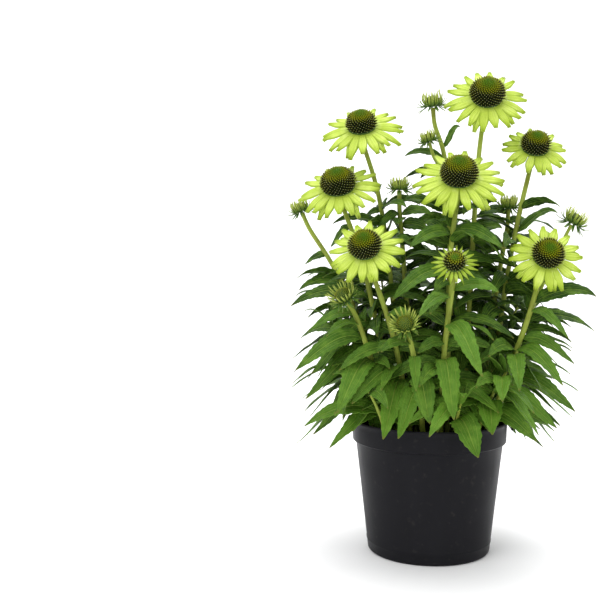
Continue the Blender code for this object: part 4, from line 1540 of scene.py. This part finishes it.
def pot_material(colours):
    """Polypropylene, injection moulded."""
    # Charcoal with a soft satin gloss, faint flow marks down the wall and specks of dust
    made, tree, shader, spot = new_material("moulded_polypropylene")
    drawn_out = node(
        tree, "ShaderNodeMapping", {}, {"Vector": spot, "Scale": (1.0, 1.0, 0.2)}
    ).outputs[0]
    flow = node(
        tree, "ShaderNodeTexNoise", {}, {"Vector": drawn_out, "Scale": 60.0, "Detail": 3.0}
    ).outputs[0]
    body = node(
        tree,
        "ShaderNodeMix",
        COLOUR,
        {0: flow, 6: (*colours.pot, 1.0), 7: (*linear("#1E1E21"), 1.0)},
    ).outputs[2]
    specks = node(
        tree, "ShaderNodeTexNoise", {}, {"Vector": spot, "Scale": 160.0, "Detail": 5.0}
    ).outputs[0]
    dust = node(
        tree, "ShaderNodeMapRange", SMOOTH, {0: specks, 1: 0.58, 2: 0.80, 3: 0.0, 4: 0.2}
    ).outputs[0]
    final = node(
        tree, "ShaderNodeMix", COLOUR, {0: dust, 6: body, 7: (*linear("#4A4640"), 1.0)}
    ).outputs[2]
    tree.links.new(final, shader.inputs["Base Color"])
    gloss = node(
        tree, "ShaderNodeMapRange", {}, {0: flow, 1: 0.3, 2: 0.7, 3: 0.34, 4: 0.46}
    ).outputs[0]
    tree.links.new(gloss, shader.inputs["Roughness"])
    shader.inputs["IOR"].default_value = 1.49
    shader.inputs["Specular IOR Level"].default_value = 0.06
    # Mould grain of about 0.6 mm, coarser than real grain so that it shows
    mould = node(tree, "ShaderNodeTexNoise", {}, {"Vector": spot, "Scale": 1600.0}).outputs[0]
    relief = node(tree, "ShaderNodeBump", {}, {"Height": mould, "Distance": 0.00004})
    tree.links.new(relief.outputs[0], shader.inputs["Normal"])
    return made


def loam_material(colours):
    """Peat and bark loam, loose."""
    # Dark, matt and damp, with paler fibres between crumbs of about 4 mm
    made, tree, shader, spot = new_material("loose_peat_loam")
    crumbs = node(
        tree, "ShaderNodeTexNoise", {}, {"Vector": spot, "Scale": 250.0, "Detail": 6.0}
    ).outputs[0]
    body = node(
        tree,
        "ShaderNodeValToRGB",
        {},
        {0: crumbs},
        [(0.30, linear("#120C08")), (0.55, colours.loam), (0.80, linear("#4A3826"))],
    ).outputs[0]
    tree.links.new(body, shader.inputs["Base Color"])
    shader.inputs["Roughness"].default_value = 0.92
    relief = node(tree, "ShaderNodeBump", {}, {"Height": crumbs, "Distance": 0.002})
    tree.links.new(relief.outputs[0], shader.inputs["Normal"])
    return made


def floor_material(colours):
    """Coated paper, rolled."""
    # White and matt, with a tooth too faint to see from the camera
    made, tree, shader, spot = new_material("rolled_white_paper")
    tooth = node(tree, "ShaderNodeTexNoise", {}, {"Vector": spot, "Scale": 500.0}).outputs[0]
    faint = node(tree, "ShaderNodeMath", TIMES, {0: tooth, 1: 0.2}).outputs[0]
    body = node(
        tree,
        "ShaderNodeMix",
        COLOUR,
        {0: faint, 6: (*colours.floor, 1.0), 7: (*linear("#FFFFFF"), 1.0)},
    ).outputs[2]
    tree.links.new(body, shader.inputs["Base Color"])
    shader.inputs["Roughness"].default_value = 0.9
    relief = node(tree, "ShaderNodeBump", {}, {"Height": tooth, "Distance": 0.00005})
    tree.links.new(relief.outputs[0], shader.inputs["Normal"])
    return made


# Shapes of the fine pieces


def leaf_outline(t):
    """A leaf's width at a share of its length, as a share of its greatest width."""
    full = (t / 0.36) ** 0.56 * ((1.0 - t) / 0.64)
    return 0.05 + 0.98 * full * step_up((t + 0.02) / 0.20)


def leaf_corners(sheet, leaf, chance, sizes):
    """A toothed, wavy leaf on its arching curve."""
    base, tip, width, face = leaf
    length = (tip - base).length
    wave = chance.uniform(0.05, 0.11)
    phase = chance.uniform(0.0, 2 * math.pi)
    ripples = chance.uniform(2.0, 3.2)
    twist = chance.uniform(-0.30, 0.30)
    teeth = max(5.0, length / TOOTH_SPACING)
    level_side = leaf_side(base, tip, face)
    middles, sides, normals, halves, bites = [], [], [], [], []
    for k in range(sheet.along + 1):
        t = k / sheet.along
        point, ahead = leaf_curve(base, tip, t)
        side = (level_side - ahead * level_side.dot(ahead)).normalized()
        side = Matrix.Rotation(twist * t, 3, ahead) @ side
        middles.append(point)
        sides.append(side)
        normals.append(side.cross(ahead))
        halves.append(width / 2 * leaf_outline(t))
        bite = (t * teeth) % 1.0
        bites.append(bite * step_up(t / 0.2) * step_up((1.0 - t) / 0.15) * sizes.tooth_depth)
    x = sheet.corners[:, 0]
    along = sheet.corners[:, 1]
    half = np.array(halves)[sheet.row]
    edge = (np.abs(x) > 0.99) * np.array(bites)[sheet.row]
    keel = 0.20 * np.abs(x) + 0.10 * np.sin(np.pi * np.abs(x))
    ripple = wave * x * np.abs(x) * np.sin(2 * np.pi * ripples * along + phase + np.sign(x))
    across = x * half * (1.0 + edge)
    height = half * (keel + ripple) + sheet.corners[:, 2] * sizes.leaf_thickness / MM
    return sheet.laid(middles, sides, normals, across, height)


def ray_outline(share, pointed):
    """A ray petal's width at a share of its length, as a share of its greatest width."""
    if pointed:
        widening = 0.55 + 0.45 * step_up(share / 0.40)
        return widening * (1.0 - 0.86 * step_up((share - 0.35) / 0.68))
    widening = 0.60 + 0.40 * step_up(share / 0.50)
    return widening * (1.0 - 0.58 * step_up((share - 0.52) / 0.48))


def ray_corners(sheet, inner, around, droop, length, width, chance, sizes, pointed=False):
    """A ribbed ray petal in its ring, with a toothed tip and edges that fold down."""
    ray = Vector((math.cos(around), math.sin(around), 0.0))
    side = Vector((math.sin(around), -math.cos(around), 0.0))
    twist = chance.uniform(-0.16, 0.16)
    curl = chance.uniform(0.9, 1.35)
    sway = chance.uniform(-0.05, 0.05) * length
    middles, sides, normals, halves = [], [], [], []
    for k in range(sheet.along + 1):
        share = k / sheet.along
        reach = length * share
        drop = droop * reach * (0.25 + 0.75 * share) * curl
        point = ray * (inner + reach) - UP * (HUB_THICKNESS / 2 + drop)
        point += side * sway * share * share
        ahead = (ray - UP * droop * curl * (0.25 + 1.5 * share)).normalized()
        turned = Matrix.Rotation(twist * share, 3, ahead) @ side
        middles.append(point)
        sides.append(turned)
        normals.append(turned.cross(ahead))
        halves.append(width / 2 * ray_outline(share, pointed))
    x = sheet.corners[:, 0]
    along = sheet.corners[:, 1]
    half = np.array(halves)[sheet.row]
    ribs = np.cos(3 * np.pi * x) * sizes.rib_depth / MM * np.minimum(1.0, along * 3.0)
    fold = -0.26 * half * x * x * (0.25 + 0.75 * along)
    height = fold + ribs + sheet.corners[:, 2] * sizes.ray_thickness / MM
    placed = sheet.laid(middles, sides, normals, x * half, height)
    notch = 0.0 if pointed else 0.035
    pull = (0.05 * x * x + notch * np.exp(-((np.abs(x) - 0.34) / 0.12) ** 2)) * length
    tip = np.clip((along - 0.7) / 0.3, 0.0, 1.0) ** 2
    return placed - np.array(ray)[None, :] * (pull * tip)[:, None]


def strap_corners(sheet, start, ahead, out, length, width, bend):
    """A pointed strap that leaves a start ahead and bends outward by an angle over its length."""
    side = ahead.cross(out).normalized()
    middles, sides, normals, halves = [], [], [], []
    point = start.copy()
    for k in range(sheet.along + 1):
        share = k / sheet.along
        heading = Matrix.Rotation(-bend * share, 3, side) @ ahead
        middles.append(point.copy())
        sides.append(side)
        normals.append(side.cross(heading))
        halves.append(width / 2 * max(0.06, (1.0 - share) ** 0.7 * (0.75 + 0.9 * share)))
        point += heading * length / sheet.along
    x = sheet.corners[:, 0]
    half = np.array(halves)[sheet.row]
    height = -0.3 * half * np.abs(x) + sheet.corners[:, 2] * STRAP_THICKNESS
    return sheet.laid(middles, sides, normals, x * half, height)


def spiral_ways(count, reach):
    """Directions on a golden spiral from the top of a dome down to a reach, closer near the
    top, each with the share of the dome's depth that it lies at.
    """
    ways = []
    for i in range(count):
        depth = ((i + 0.5) / count) ** 1.25
        polar = math.acos(1.0 - depth * (1.0 - math.cos(reach)))
        around = i * GOLDEN_ANGLE
        ring = math.sin(polar)
        way = Vector((ring * math.cos(around), ring * math.sin(around), math.cos(polar)))
        ways.append((way, depth))
    return ways


def spine_matrix(foot, way, thick, length):
    """A spine's place: its foot, its way and its size."""
    turn = way.to_track_quat("Z", "Y").to_matrix().to_4x4()
    return Matrix.Translation(foot) @ turn @ Matrix.Diagonal((thick, thick, length, 1.0))


def lump(spot):
    """How far the soil's lumps rise at a spot."""
    return LUMP_HEIGHT * noise.fractal(spot * LUMP_FREQUENCY, 1.0, 2.0, 4)


# Operators


class CONEFLOWER_OT_pot(bpy.types.Operator):
    """Model the moulded pot with its rim band, its lugs and its drainage holes"""

    bl_idname = "coneflower.pot"
    bl_label = "Pot"

    def execute(self, context):
        sizes = context.scene.plant_sizes
        top = sizes.pot_height / MM
        rim = sizes.rim_radius / MM
        band = top - POT_BAND_HEIGHT

        def wall(height):
            share = (height - HEEL) / (band - HEEL)
            return POT_BASE_RADIUS + (POT_WALL_TOP_RADIUS - POT_BASE_RADIUS) * share

        outline = [
            (POT_BASE_RADIUS - 3.2, 0.0),
            (POT_BASE_RADIUS - 2.2, 0.2),
            (POT_BASE_RADIUS - 1.0, 1.0),
            (POT_BASE_RADIUS - 0.2, 2.0),
            (wall(HEEL), HEEL),
            (wall(11.0), 11.0),
            (wall(11.6) + 0.4, 11.6),
            (wall(13.0) + 0.4, 13.0),
            (wall(13.8), 13.8),
            (wall(55.0), 55.0),
            (wall(95.0), 95.0),
            (wall(band - 1.2), band - 1.2),
            (POT_WALL_TOP_RADIUS + 0.6, band - 0.2),
            (rim - 2.2, band + 0.5),
            (rim - 1.5, band + 1.3),
            (rim - 1.3, band + 2.6),
            (rim - 0.9, top - 7.0),
            (rim - 0.7, top - 3.4),
            (rim - 0.2, top - 2.6),
            (rim, top - 1.8),
            (rim - 0.1, top - 0.9),
            (rim - 0.5, top - 0.25),
            (rim - 1.2, top),
            (rim - 1.9, top - 0.25),
            (rim - 2.3, top - 0.9),
            (rim - 1.4 - POT_WALL, band + 2.6),
            (POT_WALL_TOP_RADIUS - POT_WALL + 0.4, band + 0.8),
            (POT_WALL_TOP_RADIUS - POT_WALL, band - 1.0),
            (POT_BASE_RADIUS - POT_WALL, HEEL + 2.0),
            (POT_BASE_RADIUS - POT_WALL - 1.0, POT_FLOOR + 0.7),
            (POT_BASE_RADIUS - POT_WALL - 2.6, POT_FLOOR),
        ]
        pot = raised("moulded_pot", outline, POT_SIDES)
        holes = []
        for k in range(HOLE_COUNT):
            angle = 2 * math.pi * (k + 0.5) / HOLE_COUNT
            select_nothing()
            bpy.ops.mesh.primitive_cylinder_add(
                vertices=HOLE_SIDES,
                radius=HOLE_RADIUS * MM,
                depth=4 * POT_FLOOR * MM,
                location=(
                    HOLE_CIRCLE * math.cos(angle) * MM,
                    HOLE_CIRCLE * math.sin(angle) * MM,
                    0.0,
                ),
            )
            holes.append(bpy.context.object)
        tool = joined(holes)
        make_active(pot)
        drill = pot.modifiers.new("Holes", "BOOLEAN")
        drill.operation = "DIFFERENCE"
        drill.object = tool
        bpy.ops.object.modifier_apply(modifier=drill.name)
        bpy.data.objects.remove(tool)
        joined([pot, self.lug(-1, rim, top), self.lug(1, rim, top)])
        pot.data.materials.clear()
        pot.data.materials.append(pot_material(context.scene.plant_colours))
        bpy.ops.object.shade_smooth_by_angle(angle=math.radians(32.0))
        stands_for(pot, "pot_plastic", "pot")
        return {"FINISHED"}

    def lug(self, side, rim, top):
        """A lug: a small shelf out of the rim whose edge is turned down, with softened edges."""
        select_nothing()
        bpy.ops.mesh.primitive_cube_add(size=1.0)
        lug = bpy.context.object
        edit_all()
        reach = LUG_REACH + LUG_ROOT
        bpy.ops.transform.resize(value=(reach * MM, LUG_WIDTH * MM, LUG_THICKNESS * MM))
        middle = side * (rim - LUG_ROOT + reach / 2) * MM
        bpy.ops.transform.translate(value=(middle, 0.0, (top - LUG_DEPTH) * MM))
        outer = (rim + LUG_REACH - LUG_EDGE) * MM
        bpy.ops.mesh.bisect(plane_co=(side * outer, 0.0, 0.0), plane_no=(1.0, 0.0, 0.0))
        bpy.ops.object.mode_set(mode="OBJECT")
        for face in lug.data.polygons:
            face.select = face.normal.z < -0.9 and abs(face.center.x) > outer
        for edge in lug.data.edges:
            edge.select = False
        for vertex in lug.data.vertices:
            vertex.select = False
        bpy.ops.object.mode_set(mode="EDIT")
        bpy.ops.mesh.select_mode(type="FACE")
        drop = LUG_HEIGHT - LUG_DEPTH - LUG_THICKNESS / 2
        bpy.ops.mesh.extrude_region_move(
            TRANSFORM_OT_translate={"value": (0.0, 0.0, -drop * MM)}
        )
        bpy.ops.mesh.select_all(action="SELECT")
        bpy.ops.mesh.normals_make_consistent(inside=False)
        bpy.ops.mesh.select_mode(type="VERT")
        bpy.ops.object.mode_set(mode="OBJECT")
        soft = lug.modifiers.new("Soft edges", "BEVEL")
        soft.width = LUG_SOFTENING * MM
        soft.segments = 2
        bpy.ops.object.modifier_apply(modifier=soft.name)
        return lug


class CONEFLOWER_OT_soil(bpy.types.Operator):
    """Model the lumpy loam that fills the pot"""

    bl_idname = "coneflower.soil"
    bl_label = "Soil"

    def execute(self, context):
        band = context.scene.plant_sizes.pot_height / MM - POT_BAND_HEIGHT
        inner_top = POT_WALL_TOP_RADIUS - POT_WALL
        outline = [
            (POT_BASE_RADIUS - HEEL - 2.4, POT_FLOOR + GAP),
            (POT_BASE_RADIUS - POT_WALL - 0.6, HEEL + 2.5),
            (inner_top - 0.5, band - 0.6),
            (inner_top - 0.3, SOIL_LEVEL - 0.8),
        ]
        radius = inner_top - 1.5
        while radius > 1.5:
            outline.append((radius, SOIL_LEVEL))
            radius -= SOIL_RING
        body = raised("loam", outline, SOIL_SIDES)
        # The lumps fade out over the last 6 mm before the pot's wall
        for vertex in body.data.vertices:
            spot = vertex.co
            wide = math.hypot(spot.x, spot.y) / MM
            if spot.z > (SOIL_LEVEL - 0.1) * MM:
                fade = step_up((inner_top - wide) / 6.0)
                spot.z += (lump(spot / MM) + 0.4) * fade * MM
        growth = Growth()
        chance = random.Random(11)
        crumb = crumb_master()
        for _ in range(CRUMB_COUNT):
            wide = (inner_top - 3.0) * math.sqrt(chance.random())
            around = chance.uniform(0.0, 2 * math.pi)
            spot = Vector((wide * math.cos(around), wide * math.sin(around), SOIL_LEVEL))
            spot.z += lump(spot) + 0.5
            size = chance.uniform(0.7, 2.0)
            turn = Matrix.Rotation(chance.uniform(0.0, 6.0), 4, "Z")
            tilt = Matrix.Rotation(chance.uniform(-0.6, 0.6), 4, "X")
            place = Matrix.Translation(spot) @ turn @ tilt @ Matrix.Scale(size, 4)
            growth.set_in(crumb, place, 0.5)
        loam = loam_material(context.scene.plant_colours)
        crumbs = growth.finish("crumbs", [loam])
        body.data.materials.append(loam)
        joined([body, crumbs])
        bpy.ops.object.shade_smooth_by_angle(angle=math.radians(50.0))
        stands_for(body, "soil", "soil")
        return {"FINISHED"}


class CONEFLOWER_OT_greenery(bpy.types.Operator):
    """Grow every stem and shoot with its toothed leaves"""

    bl_idname = "coneflower.greenery"
    bl_label = "Stems and Leaves"

    def execute(self, context):
        sizes = context.scene.plant_sizes
        colours = context.scene.plant_colours
        skin = stem_material(colours)
        green = leaf_material(colours)
        leaves = place_leaves()
        sheets = {}
        for seed, (name, rough) in enumerate(main_paths().items()):
            chance = random.Random(40 + seed)
            growth = Growth()
            thick = sizes.stem_radius / MM
            taper = STEM_TAPER
            if name.startswith("shoot_"):
                thick *= SHOOT_THICK / STEM_THICK
                taper = SHOOT_TAPER
            path = softened(rough)
            stem = stem_master(path, thick, taper)
            growth.copy(stem, stem.corners, 0.5)
            for bearer, height, way, bud in BRANCHES:
                if name == "stem_" + bearer:
                    side_path = softened(branch_path(path, height, way, bud))
                    branch = stem_master(side_path, thick * BRANCH_THICK / STEM_THICK, STEM_TAPER)
                    growth.copy(branch, branch.corners, 0.5)
            for base, tip, width, face in leaves[name]:
                if face is not FRONT:
                    if is_left_out((base, tip, width, face)):
                        continue
                    width *= RULE_LEAF_NARROWING
                leaf = (nearest_on_path(path, base), tip, width, face)
                rows = max(LEAF_CELLS_ALONG, 2 * round((tip - base).length / LEAF_CELL_SPACING))
                if rows not in sheets:
                    sheets[rows] = Sheet(LEAF_CELLS_ACROSS, rows)
                corners = leaf_corners(sheets[rows], leaf, chance, sizes)
                # Leaves are lighter low down and at the front, where the light reaches them
                low = step_up((230.0 - tip.z) / 120.0)
                light = 0.15 + 0.35 * low + 0.45 * step_up(-tip.y / 110.0)
                tone = min(1.0, max(0.0, light + chance.uniform(-0.22, 0.22)))
                growth.copy(sheets[rows], corners, tone, 1)
            made = growth.finish("grown_" + name, [skin, green])
            stands_for(made, "greenery", name)
        return {"FINISHED"}


class CONEFLOWER_OT_rays(bpy.types.Operator):
    """Model every ring of ray petals, in an upper and a lower layer"""

    bl_idname = "coneflower.rays"
    bl_label = "Ray Petals"

    def execute(self, context):
        sizes = context.scene.plant_sizes
        petal = petal_material(context.scene.plant_colours)
        sheet = Sheet(*RAY_CELLS)
        for seed, (name, flower) in enumerate(FLOWERS.items()):
            at, lift, turn, outer, cone, _, count = flower
            chance = random.Random(seed)
            extra = random.Random(90 + seed)
            young = name == "half_open"
            if young:
                count = YOUNG_RAYS
            inner = cone * HUB_SHARE
            middle = inner + (outer - inner) * 0.6
            filling = YOUNG_RAY_FILLING if young else RAY_FILLING
            width = min(PETAL_WIDEST, 2 * math.pi * middle / count * filling)
            growth = Growth()
            place = face_matrix(at, lift, turn)
            for i in range(count):
                around = 2 * math.pi * (i + chance.uniform(-0.05, 0.05)) / count
                hanging = UPPER_DROOP + SECOND_DROOP * (i % 2) + chance.uniform(-1.5, 1.5)
                # Petals at the top of a face that looks forward hang less
                droop = math.tan(math.radians(hanging))
                droop *= 1.0 - 0.55 * max(0.0, math.sin(around))
                length = (outer - inner) * chance.uniform(0.93, 1.03)
                wide = width * extra.uniform(0.88, 1.08)
                corners = ray_corners(
                    sheet, inner, around, droop, length, wide, extra, sizes, pointed=young
                )
                growth.copy(sheet, moved(corners, place), extra.random())
            lower = 0 if young else count // 3
            for i in range(lower):
                around = 2 * math.pi * (3 * i + 0.5 + extra.uniform(-0.15, 0.15)) / count
                droop = math.tan(math.radians(LOWER_DROOP + extra.uniform(-2.0, 3.0)))
                length = (outer - inner) * extra.uniform(0.88, 0.98)
                corners = ray_corners(sheet, inner, around, droop, length, width, extra, sizes)
                growth.copy(sheet, moved(corners, place), extra.random())
            made = growth.finish("rays_" + name, [petal])
            stands_for(made, "petals", "petals_" + name)
        return {"FINISHED"}


class CONEFLOWER_OT_cones(bpy.types.Operator):
    """Model every cone of chaff spines, and the bracts and the receptacle behind it"""

    bl_idname = "coneflower.cones"
    bl_label = "Cones"

    def execute(self, context):
        sizes = context.scene.plant_sizes
        colours = context.scene.plant_colours
        spine = spine_material(colours)
        flesh = disc_material()
        green = bract_material(colours)
        floret = floret_master()
        dome = dome_master(CORE_REACH)
        strap = Sheet(*STRAP_CELLS)
        spacing = sizes.floret_spacing / MM
        for seed, (name, flower) in enumerate(FLOWERS.items()):
            at, lift, turn, _, radius, height, _ = flower
            chance = random.Random(150 + seed)
            height *= DOME_FLATTENING
            low = height * math.cos(DOME_REACH)
            place = face_matrix(at, lift, turn)
            lifted = place @ Matrix.Translation((0.0, 0.0, GAP - low))
            spike = min(FLORET_LENGTH, radius * FLORET_SHARE)
            body = radius - spike
            tall = height - spike
            growth = Growth()
            core = Matrix.Diagonal((body, body, tall, 1.0))
            growth.set_in(dome, lifted @ core, 0.0, 1)
            area = 2 * math.pi * radius * height
            count = int(area * FLORET_CROWDING / (spacing * spacing))
            for way, depth in spiral_ways(count, DOME_REACH):
                foot = Vector((way.x * body, way.y * body, way.z * tall)) * 0.97
                heading = Vector((way.x, way.y, way.z + 0.35)).normalized()
                opened = step_up((depth - 0.12) / 0.35)
                length = (spike + 0.6) * (0.55 + 0.55 * opened) * chance.uniform(0.9, 1.1)
                thick = spacing * (0.42 - 0.20 * opened)
                matrix = spine_matrix(foot, heading, thick, length)
                growth.set_in(floret, lifted @ matrix, depth)
            self.add_receptacle(growth, dome, strap, place, radius, chance)
            surfaces = [spine, flesh, green]
            made = growth.finish("cone_spines_" + name, surfaces, SPINE_CREASE)
            stands_for(made, "cones", "cone_" + name)
        return {"FINISHED"}

    def add_receptacle(self, growth, dome, strap, place, radius, chance):
        """The green cup under the petals with its two whorls of bracts."""
        wide = radius * CUP_SHARE
        cup = Matrix.Translation(CUP_PLACE) @ Matrix.Diagonal((wide, wide, -CUP_DEPTH, 1.0))
        growth.set_in(dome, place @ cup, 0.1, 2)
        for whorl, (share, count, length) in enumerate(CUP_WHORLS):
            for i in range(count):
                around = 2 * math.pi * (i + 0.5 * whorl + chance.uniform(-0.2, 0.2)) / count
                ray = Vector((math.cos(around), math.sin(around), 0.0))
                start = ray * wide * share - UP * (CUP_BRACT_DEPTH + CUP_WHORL_STEP * whorl)
                ahead = (ray - UP * 0.12).normalized()
                corners = strap_corners(
                    strap, start, ahead, -UP, length, CUP_BRACT_WIDTH, CUP_BRACT_BEND
                )
                growth.copy(strap, moved(corners, place), chance.uniform(0.0, 0.3), 2)


class CONEFLOWER_OT_buds(bpy.types.Operator):
    """Model every bud: florets, young rays and whorls of bracts"""

    bl_idname = "coneflower.buds"
    bl_label = "Buds"

    def execute(self, context):
        sizes = context.scene.plant_sizes
        colours = context.scene.plant_colours
        spine = spine_material(colours)
        green = bract_material(colours)
        floret = floret_master()
        dome = dome_master(BRACT_REACH)
        strap = Sheet(*STRAP_CELLS)
        for seed, (name, bud) in enumerate(BUDS.items()):
            at, lift, turn, radius, spike = bud
            chance = random.Random(210 + seed)
            place = face_matrix(at, lift, turn)
            growth = Growth()
            core = Matrix.Diagonal((radius * 0.92, radius * 0.92, radius * 0.80, 1.0))
            growth.set_in(dome, place @ core, 0.1, 1)
            for way, depth in spiral_ways(BUD_FLORETS, BUD_FLORET_REACH):
                foot = Vector((way.x, way.y, way.z * 0.86)) * radius * 0.86
                heading = Vector((way.x, way.y, way.z + 0.5)).normalized()
                matrix = spine_matrix(foot, heading, 0.6, 1.2 + 1.0 * depth)
                growth.set_in(floret, place @ matrix, 0.12 + 0.2 * depth)
            opened = BUD_OPENING * step_up((66.0 - lift) / 20.0)
            for polar, count, leaning, length, width, bend, tone in BUD_WHORLS:
                for i in range(count):
                    around = 2 * math.pi * (i + polar % 1.0 + chance.uniform(-0.22, 0.22)) / count
                    ray = Vector((math.cos(around), math.sin(around), 0.0))
                    steep = math.radians(polar)
                    start = (ray * math.sin(steep) + UP * math.cos(steep) * 0.9) * radius * 0.93
                    steep = math.radians(leaning + opened + chance.uniform(-7.0, 7.0))
                    ahead = ray * math.sin(steep) + UP * math.cos(steep)
                    out = ray * math.cos(steep) - UP * math.sin(steep)
                    reach = (radius * length + spike * 0.55) * chance.uniform(0.85, 1.15)
                    turn = bend + chance.uniform(-0.15, 0.15)
                    corners = strap_corners(strap, start, ahead, out, reach, width, turn)
                    growth.copy(strap, moved(corners, place), tone, 1)
            made = growth.finish("bracts_" + name, [spine, green], SPINE_CREASE)
            stands_for(made, "buds", "bud_" + name)
        return {"FINISHED"}


class CONEFLOWER_OT_stage(bpy.types.Operator):
    """Set the floor with its backdrop, the soft lights and the camera"""

    bl_idname = "coneflower.stage"
    bl_label = "Stage"

    def execute(self, context):
        select_nothing()
        bpy.ops.mesh.primitive_plane_add(size=FLOOR_SIZE, location=(0.0, 0.0, 0.0))
        floor = bpy.context.object
        floor.name = "floor_sweep"
        back = FLOOR_SIZE / 2 - 0.1
        for edge in floor.data.edges:
            edge.select = all(floor.data.vertices[i].co.y > back for i in edge.vertices)
        for vertex in floor.data.vertices:
            vertex.select = vertex.co.y > back
        for face in floor.data.polygons:
            face.select = False
        bpy.ops.object.mode_set(mode="EDIT")
        bpy.ops.mesh.extrude_region_move(
            TRANSFORM_OT_translate={"value": (0.0, 0.0, BACKDROP_HEIGHT)}
        )
        bpy.ops.object.mode_set(mode="OBJECT")
        for edge in floor.data.edges:
            ends = [floor.data.vertices[i].co for i in edge.vertices]
            edge.select = all(end.y > back and end.z < 0.1 for end in ends)
        bpy.ops.object.mode_set(mode="EDIT")
        bpy.ops.mesh.select_mode(type="EDGE")
        bpy.ops.mesh.bevel(offset=SWEEP_RADIUS, segments=SWEEP_SEGMENTS)
        bpy.ops.mesh.select_all(action="SELECT")
        bpy.ops.mesh.normals_make_consistent(inside=True)
        bpy.ops.mesh.select_mode(type="VERT")
        bpy.ops.object.mode_set(mode="OBJECT")
        bpy.ops.object.shade_smooth()
        floor.data.materials.append(floor_material(context.scene.plant_colours))

        for name, light in LIGHTS.items():
            self.light(name, *light)

        world = bpy.data.worlds.new("daylight")
        world.use_nodes = True
        sky = world.node_tree.nodes["Background"]
        sky.inputs["Color"].default_value = (1.0, 1.0, 1.0, 1.0)
        sky.inputs["Strength"].default_value = SKY_STRENGTH
        context.scene.world = world
        context.scene.view_settings.view_transform = "Standard"

        lens = bpy.data.cameras.new("camera")
        lens.lens = CAMERA_LENS
        lens.sensor_width = CAMERA_SENSOR
        lens.clip_start = CAMERA_NEAREST
        camera = bpy.data.objects.new("camera", lens)
        camera.location = CAMERA_PLACE
        camera.rotation_euler = (CAMERA_PITCH, 0.0, CAMERA_TURN)
        context.scene.collection.objects.link(camera)
        context.scene.camera = camera
        return {"FINISHED"}

    def light(self, name, place, target, size, power):
        """A square soft light that faces its target."""
        lamp = bpy.data.lights.new(name, "AREA")
        lamp.size = size
        lamp.energy = power
        made = bpy.data.objects.new(name, lamp)
        made.location = place
        aim = Vector(target) - Vector(place)
        made.rotation_euler = aim.to_track_quat("-Z", "Y").to_euler()
        bpy.context.scene.collection.objects.link(made)


OPERATORS = (
    CONEFLOWER_OT_pot,
    CONEFLOWER_OT_soil,
    CONEFLOWER_OT_greenery,
    CONEFLOWER_OT_rays,
    CONEFLOWER_OT_cones,
    CONEFLOWER_OT_buds,
    CONEFLOWER_OT_stage,
)


class CONEFLOWER_PT_pieces(bpy.types.Panel):
    """The pieces of the plant, with their sizes and colours"""

    bl_idname = "CONEFLOWER_PT_pieces"
    bl_label = "Potted Coneflower"
    bl_space_type = "VIEW_3D"
    bl_region_type = "UI"
    bl_category = "Coneflower"

    def draw(self, context):
        for group in (context.scene.plant_sizes, context.scene.plant_colours):
            column = self.layout.column()
            for key in type(group).__annotations__:
                column.prop(group, key)
        for operator in OPERATORS:
            self.layout.operator(operator.bl_idname)


def register():
    for kind in (PlantSizes, PlantColours, *OPERATORS, CONEFLOWER_PT_pieces):
        bpy.utils.register_class(kind)
    bpy.types.Scene.plant_sizes = bpy.props.PointerProperty(type=PlantSizes)
    bpy.types.Scene.plant_colours = bpy.props.PointerProperty(type=PlantColours)


def unregister():
    del bpy.types.Scene.plant_colours
    del bpy.types.Scene.plant_sizes
    for kind in reversed((PlantSizes, PlantColours, *OPERATORS, CONEFLOWER_PT_pieces)):
        bpy.utils.unregister_class(kind)


def main():
    register()
    bpy.ops.coneflower.pot()
    bpy.ops.coneflower.soil()
    bpy.ops.coneflower.greenery()
    bpy.ops.coneflower.rays()
    bpy.ops.coneflower.cones()
    bpy.ops.coneflower.buds()
    bpy.ops.coneflower.stage()
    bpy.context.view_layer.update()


if __name__ == "__main__":
    main()
